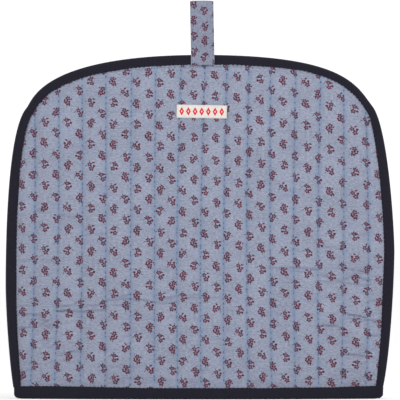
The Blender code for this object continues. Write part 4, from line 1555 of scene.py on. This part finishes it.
# %% [markdown]
# ## The hem tape
#
# The hem tape is folded the same way, but it runs in a ring round the opening, and turns
# sharply round the two lower corners, over the ends of the side tapes. Its plan is a line
# outside the panels and one inside, with the same number of stations on both. Between them each
# profile point is a share of the way across. Near the corners the tape was sewn on a little
# taller, and how much taller is given in millimetres at places along the front.

# %% Plan of the hem
HEM_TIPS = (-0.1730, 0.1703)
HEM_CORNER = 0.0034
HEM_RISE = (
    (-165, 1.2), (-145, 1.5), (-105, 1.0), (-80, 0.5), (-50, 0.0), (50, 0.0),
    (110, 0.3), (135, 0.8), (160, 1.5),
)
HEM_STATIONS = 300
TIP_ANGLES = (75.0, 60.0, 45.0, 30.0, 15.0, 0.0)
TIP_SQUARENESS = 0.6
CROTCH_STEPS = 30
HEM_WALL = SEWN_THICKNESS / 2 + CLEARANCE + TAPE


def hem_arc(x, offset):
    """Distance from the seam plane of a line that keeps its offset to the panel at the hem."""
    lower, upper = (float(stand_off(at, HEM_HEIGHT, ())) for at in (x - CLEARANCE, x + CLEARANCE))
    slope = (upper - lower) / (2 * CLEARANCE)
    return float(stand_off(x, HEM_HEIGHT, ())) + offset * math.hypot(1.0, slope)


def outer_hem_line(offset):
    """Front half of the plan line outside the panels, with a nose round each corner."""
    ends = [float(side_x(HEM_HEIGHT, out)) for out in (-1.0, 1.0)]
    points = [(x, hem_arc(x, offset)) for x in np.linspace(*ends, HEM_STATIONS + 1)]
    half = FLAT + offset
    for index, tip in enumerate(HEM_TIPS):
        out = math.copysign(1.0, tip)
        nose = []
        for angle in map(math.radians, TIP_ANGLES):
            inset = (HEM_WALL - offset) + half * TIP_SQUARENESS * (1.0 - math.cos(angle))
            nose.append((tip - out * inset, half * math.sin(angle) ** TIP_SQUARENESS))
        points = nose[::-1] + points if index == 0 else points + nose
    return points


def crotch_x(offset, out):
    """Where the line inside the front panel meets the one inside the back panel."""
    inside, outside = 0.0, float(side_x(HEM_HEIGHT, out))
    for _ in range(CROTCH_STEPS):
        middle = (inside + outside) / 2
        if hem_arc(middle, offset) > 0.0:
            inside = middle
        else:
            outside = middle
    return inside


def inner_hem_line(offset, outer_line):
    """Front half of the plan line inside the panels, a point for each one of the outer line."""
    left, right = outer_line[0][0], outer_line[-1][0]
    ends = crotch_x(offset, -1.0), crotch_x(offset, 1.0)
    points = []
    for x, _ in outer_line[1:-1]:
        inner_x = x * (ends[0] / left if x < 0.0 else ends[1] / right)
        points.append((inner_x, hem_arc(inner_x, offset)))
    return [(ends[0], 0.0), *points, (ends[1], 0.0)]


def closed_line(front):
    """A whole plan line from its front half, ending where it starts."""
    back = [(x, -y) for x, y in reversed(front[1:-1])]
    ring = [(x, -y) for x, y in front] + [(x, -y) for x, y in back]
    return np.array(ring + ring[:1])


print("the walls of the hem tape are", round(HEM_WALL / MM, 1), "mm either side of a panel's middle")

# %% Profile of the hem tape
HEM_OUTER = HEM_WALL - TAPE_CLOTH / 2
HEM_INNER = SEWN_THICKNESS / 2 + CLEARANCE + TAPE_CLOTH / 2 + INNER_GAP
HEM_FOLD_RADIUS = (HEM_OUTER - HEM_INNER) / 2
HEM_RAW_Z = 0.0020
FOOT_LIFT = 0.0022
FOOT_FLAT = 0.0010
FOOT_STEPS = 5


def hem_half():
    """Half of the profile, from the raw edge to the foot. Height is fixed + share * tape height."""
    points = []
    for step in np.linspace(0.0, 1.0, LAYER_STEPS):
        points.append(Spine(between(HEM_RAW_Z, -HEM_FOLD_RADIUS, step), step, HEM_INNER, 0.0))
    for angle in np.linspace(-math.pi / 2, math.pi / 2, FOLD_STEPS + 2)[1:-1]:
        height = HEM_FOLD_RADIUS * (math.cos(angle) - 1.0)
        middle = (HEM_OUTER + HEM_INNER) / 2
        points.append(Spine(height, 1.0, middle + HEM_FOLD_RADIUS * math.sin(angle), 0.5))
    for step in np.linspace(1.0, 0.0, LAYER_STEPS):
        points.append(Spine(between(FOOT_LIFT, -HEM_FOLD_RADIUS, step), step, HEM_OUTER, 1.0))
    for angle in np.linspace(0.0, math.pi / 2, FOOT_STEPS)[1:]:
        height = FOOT_LIFT - (FOOT_LIFT - TAPE_CLOTH / 2) * math.sin(angle)
        offset = between(HEM_OUTER, FOOT_FLAT, 1.0 - math.cos(angle))
        points.append(Spine(height, 0.0, offset, math.cos(angle)))
    points.append(Spine(TAPE_CLOTH / 2, 0.0, 0.0, 0.0))
    return points


print("the hem tape has", len(both_sides(hem_half())), "points across")

# %% [markdown]
# The ring has to close on itself. So a whole number of slip stitches goes round it, and the random
# drift of its edge fades to nothing where the last station meets the first.

# %% The hem tape
HEM_EDGE_DRIFT = 0.00034
HEM_SCALLOP = 0.00040
HEM_SEED = 7
HEM_DRAG_SEED = 8


def hem_tape():
    outer_line = outer_hem_line(HEM_OUTER)
    outside, inside = closed_line(outer_line), closed_line(inner_hem_line(-HEM_OUTER, outer_line))
    walked = walked_along(outside)
    fixed, share, offset, outer = as_arrays(both_sides(hem_half()))
    facing = np.sign(offset)
    walk = np.repeat(walked[:, None], offset.shape[1], axis=1)
    turn = walk * (walked[-1] // SLIP_PITCH) * SLIP_PITCH / walked[-1]
    pulled = slip_wave(turn)
    round_trip = np.sin(np.pi * walk / walked[-1])
    drift = HEM_EDGE_DRIFT * round_trip * drift_along(walk, facing, EDGE_CELL, HEM_SEED)
    rise_x, rise = np.array(HEM_RISE).T * MM
    tall = HEM_HEIGHT + np.interp(outside[:, :1], rise_x, rise) + drift - HEM_SCALLOP * (0.5 - pulled)
    z = fixed + share * tall
    from_tip = np.minimum(outside[:, :1] - HEM_TIPS[0], HEM_TIPS[1] - outside[:, :1])
    over = np.clip(1.0 - from_tip / HEM_CORNER, 0.0, 1.0)
    lift = HEM_CORNER * (1.0 - np.sqrt(1.0 - over**2))
    z = lift + z * (1.0 - lift / tall)
    pull = soft_noise(walk + DRAG_SLANT * z, z * facing, *DRAG_CELL, HEM_DRAG_SEED)
    drag = DRAG * round_trip * pull
    dimple = SLIP_DIMPLE * pulled * np.exp(-(((tall - z) / SLIP_DIMPLE_HALF) ** 2))
    reach = offset + outer * facing * share * (drag - dimple)
    way = (reach / HEM_OUTER + 1.0) / 2
    x = between(inside[:, :1], outside[:, :1], way)
    y = between(inside[:, 1:], outside[:, 1:], way)
    points = np.stack((x, y, z), axis=-1)
    middle = z[len(z) // 4]
    across = walked_along(np.column_stack((middle, offset[0])))
    return strip("hem_tape", points, across, walked, NAVY, closed=True)


hem_binding = hem_tape()

# %% [markdown]
# Both tapes are slip-stitched: every few millimetres a tiny stitch in navy thread bites into the
# fold and draws it in a little. The scallops of the folded edges have the same spacing, so each
# bite sits in its own dimple. Only the seam tape gets its thread, and on the hem tape the dimples
# alone show the stitches. A bite slants over the folded edge, from the tape to the panel. Its two
# ends are shares of its length: first along the rim, then past the edge.

# %% Slip stitches
SLIP_LENGTH = 0.0016
SLIP_THREAD = 0.00034
SLIP_ABOVE = 0.00012
SLIP_ENDS = ((-0.5, -0.15), (0.5, 0.25))


def slip_stitches():
    path, inwards, walked = rim_path()
    stitches = []
    for bite in np.arange(SLIP_PITCH, walked[-1] - SLIP_PITCH, SLIP_PITCH):
        ends = []
        for shift, deeper in SLIP_ENDS:
            at = bite + shift * SLIP_LENGTH
            point = np.array([np.interp(at, walked, path[:, axis]) for axis in (0, 1)])
            inward = np.array([np.interp(at, walked, inwards[:, axis]) for axis in (0, 1)])
            ends.append(point + inward * (float(tape_width(point)) + deeper * SLIP_LENGTH))
        for face in (FRONT, BACK):
            y = face.facing * (OUTER_LAYER - SLIP_DIMPLE + SLIP_ABOVE)
            start, end = ((one[0], y, one[1]) for one in ends)
            stitches.append(Stitch(start, end, (0.0, face.facing, 0.0)))
    return sewn("slip_stitches", stitches, SLIP_THREAD, NAVY_THREAD)


slip_row = slip_stitches()

# %% [markdown]
# ## The hanging loop
#
# A strip of the print is folded lengthwise into a strap, stitched close to both long edges, and
# folded over the top of the rim. The strap could be a curve with a flat bevel, but the two
# stitched grooves and the print need their own coordinates, so it is a grid again, extruded
# once into a closed skin and laid along the path of the strap.

# %% Path of the strap
LOOP_X = 0.0021
LOOP_WIDTH = 0.0217
LOOP_FLARE = 0.0006
LOOP_CLOTH = 0.0016
LOOP_TOP = 0.3702
LOOP_FOOT = 0.3102
LOOP_CROWN_HALF = 0.0034
LOOP_REACH = 0.0160
LOOP_CELLS = (32, 120)
BEND_STEPS = 8


def loop_path():
    """Middle of the strap as (y, z), up the front and down the back."""
    half = RIM_HALF + CLEARANCE + LOOP_CLOTH / 2
    foot = Vector((-half, LOOP_FOOT))
    hip = Vector((-half, CROWN[1] + LOOP_CLOTH))
    top = Vector((0.0, LOOP_TOP - LOOP_CLOTH / 2))
    shoulder = Vector((-LOOP_CROWN_HALF, top.y - LOOP_CROWN_HALF))
    reach = Vector((0.0, LOOP_REACH))
    rise = interpolate_bezier(hip, hip + reach, shoulder - reach, shoulder, BEND_STEPS * 3)
    turns = np.linspace(math.pi / 2, 0.0, BEND_STEPS)[1:]
    bend = [top + Vector((-math.sin(turn), math.cos(turn) - 1.0)) * LOOP_CROWN_HALF for turn in turns]
    front = [foot, foot.lerp(hip, 0.5), *rise, *bend]
    back = [Vector((-point.x, point.y)) for point in reversed(front[:-1])]
    return spaced(np.array([(point.x, point.y) for point in front + back]), LOOP_CELLS[1] + 1)


STRAP = loop_path()
STRAP_WALKED = np.linspace(0.0, float(np.linalg.norm(np.diff(STRAP, axis=0), axis=1).sum()), len(STRAP))
STRAP_OUTWARD = -inward_normals(STRAP)
print("strap", round(STRAP_WALKED[-1] / MM, 1), "mm long")

# %% Surface of the strap
EDGE_STITCH_IN = 0.0014
GROOVE = 0.00016
GROOVE_HALF = 0.00045
STRAP_EDGE_POWER = 22
STRAP_LEAN = 0.0011
FOOT_TAPER = 0.0040
FOOT_THINNER = 0.60
STRAP_PRINT = (0.0032, 0.0127)
STRAP_PRINT_NARROWER = 1.06
STRAP_SHEAR = -0.20
# Thread colour and painted groove shade in the strap's stitched grooves, as a share of the band blue.
STRAP_THREAD_AND_SHADE = 0.35
STRAP_WAVE = 0.00022
STRAP_WAVE_CELL = (0.012, 0.007)
STRAP_SEED = 21


def strap_point(across, index, outside):
    """Points at a share across the strap, from -1 to 1, and a station along it."""
    station, outward = STRAP[index], STRAP_OUTWARD[index]
    flare = LOOP_FLARE * smooth((CROWN[1] - station[..., 1]) / (CROWN[1] - LOOP_FOOT))
    half = (LOOP_WIDTH + flare) / 2
    x = across * half
    lean = STRAP_LEAN * (0.5 - (station[..., 1] - LOOP_FOOT) / (LOOP_TOP - LOOP_FOOT))
    from_foot = np.minimum(STRAP_WALKED[index], STRAP_WALKED[-1] - STRAP_WALKED[index])
    thin = FOOT_THINNER * (1.0 - smooth(from_foot / FOOT_TAPER))
    rounding = (1.0 - np.abs(across) ** STRAP_EDGE_POWER) ** 0.5
    groove = GROOVE * np.exp(-(((half - np.abs(x) - EDGE_STITCH_IN) / GROOVE_HALF) ** 2))
    free = smooth((station[..., 1] - CROWN[1]) / LOOP_REACH)
    wave = STRAP_WAVE * free * soft_noise(x, STRAP_WALKED[index], *STRAP_WAVE_CELL, STRAP_SEED)
    skin = LOOP_CLOTH / 2 * rounding - groove
    height = wave + (skin * (1.0 - 2.0 * thin) if outside else -skin)
    return np.stack((LOOP_X + lean + x, station[..., 0] + outward[..., 0] * height,
                     station[..., 1] + outward[..., 1] * height), axis=-1)


strap_top = strap_point(np.float64(0.0), LOOP_CELLS[1] // 2, True)
print("the loop's top stands", round(float(strap_top[2]) / MM, 1), "mm above the table")


# %% The strap
def hanging_strap():
    columns, rows = LOOP_CELLS
    data = double_grid("hanging_strap", columns, rows)
    i, j, skins = numbers(data, "column"), numbers(data, "row"), numbers(data, "skin")
    across = np.sin(np.pi * (i / columns - 0.5))
    inner, outer = strap_point(across, j, False), strap_point(across, j, True)
    place(data, np.where(skins[:, None] == 1, inner, outer))
    from_left = ((across + 1.0) * LOOP_WIDTH / 2 - STRAP_PRINT[0]) * STRAP_PRINT_NARROWER
    keep_uv(data, from_left, STRAP_WALKED[j] - STRAP_PRINT[1] + STRAP_SHEAR * from_left)
    # Thread colour and painted shade in the stitched grooves of the strap.
    from_edge = LOOP_WIDTH / 2 * (1.0 - np.abs(across))
    thread_and_shade = np.exp(-(((from_edge - EDGE_STITCH_IN) / GROOVE_HALF) ** 2))
    keep_values(data, "thread_and_shade", thread_and_shade * STRAP_THREAD_AND_SHADE)
    sew_shut(data)
    drop_numbers(data)
    return finish_piece("hanging_strap", data, STRAP_PRINTED_SHADED)


loop = hanging_strap()
print(loop.name, len(loop.data.polygons), "faces")

# %% Stitches along the strap
STRAP_PITCH = 0.0027
STRAP_THREAD = 0.00040
STRAP_STITCH_SHARE = 0.62


def strap_stitches():
    stitches = []
    across = 1.0 - 2.0 * EDGE_STITCH_IN / LOOP_WIDTH
    for side in (-across, across):
        for middle in np.arange(STRAP_PITCH, STRAP_WALKED[-1] - STRAP_PITCH / 2, STRAP_PITCH):
            ends = []
            for shift in (-0.5, 0.5):
                at = middle + shift * STRAP_PITCH * STRAP_STITCH_SHARE
                index = int(round(at / STRAP_WALKED[-1] * (len(STRAP) - 1)))
                ends.append(strap_point(np.float64(side), index, True))
            outward = (0.0, *STRAP_OUTWARD[index])
            lift = np.array(outward) * SUNK
            stitches.append(Stitch(ends[0] + lift, ends[1] + lift, outward))
    return sewn("strap_stitches", stitches, STRAP_THREAD, PALE_THREAD)


strap_row = strap_stitches()

# %% [markdown]
# ## The label
#
# A short woven tape is laid across the channels and sewn down along its edges. It
# bridges the troughs, so it follows the cloth only in part: each point takes the height of the
# cloth under it where that is high, and rests at a set height where the cloth falls away. A few
# rounds of smoothing make it hang like tape. Its pattern is a plain woven row of lozenges.

# %% Label shape
LABEL_X = 0.0016
LABEL_Z = 0.2669
LABEL_LENGTH = 0.0467
LABEL_HEIGHT = 0.0122
LABEL_CLOTH = 0.0005
LABEL_TURN = math.radians(-1.0)
LABEL_CELLS = (56, 16)
LABEL_LOWEST = 0.0015
LABEL_LIFT = 0.00042
LABEL_SMOOTHING = 6
SMOOTH_BY = 0.5
EDGE_DIP = 0.00030
EDGE_DIP_HALF = 0.0010


def label_xz(u, v):
    """From the label's own length and height to the front of the cosy."""
    x = LABEL_X + u * math.cos(LABEL_TURN) - v * math.sin(LABEL_TURN)
    return x, LABEL_Z + u * math.sin(LABEL_TURN) + v * math.cos(LABEL_TURN)


def label_point(u, v):
    x, z = label_xz(u, v)
    under = cloth_at(x, z, FRONT)
    flat = -(stand_off(x, z, FRONT_DENTS) + SEWN_THICKNESS / 2)
    height = np.maximum(flat - under[..., 1], LABEL_LOWEST) + LABEL_LIFT
    edge = np.minimum(LABEL_LENGTH / 2 - np.abs(u), LABEL_HEIGHT / 2 - np.abs(v))
    height = height - EDGE_DIP * np.exp(-((edge / EDGE_DIP_HALF) ** 2))
    return np.stack((x, flat - height, z), axis=-1)


def woven_label():
    columns, rows = LABEL_CELLS
    data = as_mesh(numbered_grid(columns, rows), "woven_label")
    u = (numbers(data, "column") / columns - 0.5) * LABEL_LENGTH
    v = (numbers(data, "row") / rows - 0.5) * LABEL_HEIGHT
    place(data, label_point(u, v))
    keep_uv(data, u, v)
    drop_numbers(data)
    shape = bmesh.new()
    shape.from_mesh(data)
    for _ in range(LABEL_SMOOTHING):
        bmesh.ops.smooth_vert(shape, verts=shape.verts, factor=SMOOTH_BY, use_axis_y=True)
    bmesh.ops.recalc_face_normals(shape, faces=shape.faces)
    shape.to_mesh(data)
    shape.free()
    piece = finish_piece("woven_label", data, LABEL_MATERIAL)
    thicken(piece, LABEL_CLOTH)
    return piece


label = woven_label()
print(label.name, len(label.data.polygons), "faces")

# %% Label stitches
LABEL_PITCH = 0.0021
LABEL_THREAD = 0.00030
LABEL_STITCH_IN = 0.0008
LABEL_STITCH_SHARE = 0.6


def label_stitches():
    """Small stitches in cream thread round the label, just inside its edges."""
    right, top = LABEL_LENGTH / 2 - LABEL_STITCH_IN, LABEL_HEIGHT / 2 - LABEL_STITCH_IN
    corners = np.array(((-right, top), (right, top), (-right, -top), (right, -top)))
    left_top, right_top, left_low, right_low = corners
    edges = ((left_top, right_top), (left_low, right_low), (left_low, left_top), (right_low, right_top))
    half = LABEL_STITCH_SHARE / 2
    lift = np.array((0.0, -(LABEL_CLOTH / 2 + SUNK), 0.0))
    stitches = []
    for start, end in edges:
        count = int(np.linalg.norm(end - start) / LABEL_PITCH)
        for step in range(count):
            shares = (step + 0.5 - half) / count, (step + 0.5 + half) / count
            ends = [label_point(*between(start, end, share)) for share in shares]
            stitches.append(Stitch(ends[0] + lift, ends[1] + lift, (0.0, -1.0, 0.0)))
    return sewn("label_stitches", stitches, LABEL_THREAD, CREAM_THREAD)


label_row = label_stitches()

# %% [markdown]
# ## Riding on the frame
#
# Each piece is tied to the body that carries it, and the plain solid it stands for, if any, is
# hidden. The length given for the seam tape is 85 mm more than that of the outline it covers.


def declare(piece, slot, *stands_for):
    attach(piece, "root")
    if stands_for:
        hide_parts(*stands_for)


for face in (FRONT, BACK):
    piece = panels[face.name]
    declare(piece, "printed_cotton", "panel_" + face.name)
    declare(quilting[face.name], "printed_cotton")
    declare(crown_rows[face.name], "printed_cotton")
declare(seam_binding, "navy_tape", "seam_binding")
declare(hem_binding, "navy_tape", "hem_binding")
declare(slip_row, "navy_tape")
declare(loop, "printed_cotton", "hanging_loop")
declare(strap_row, "printed_cotton")
declare(label, "cream_tape", "label")
declare(label_row, "cream_tape")
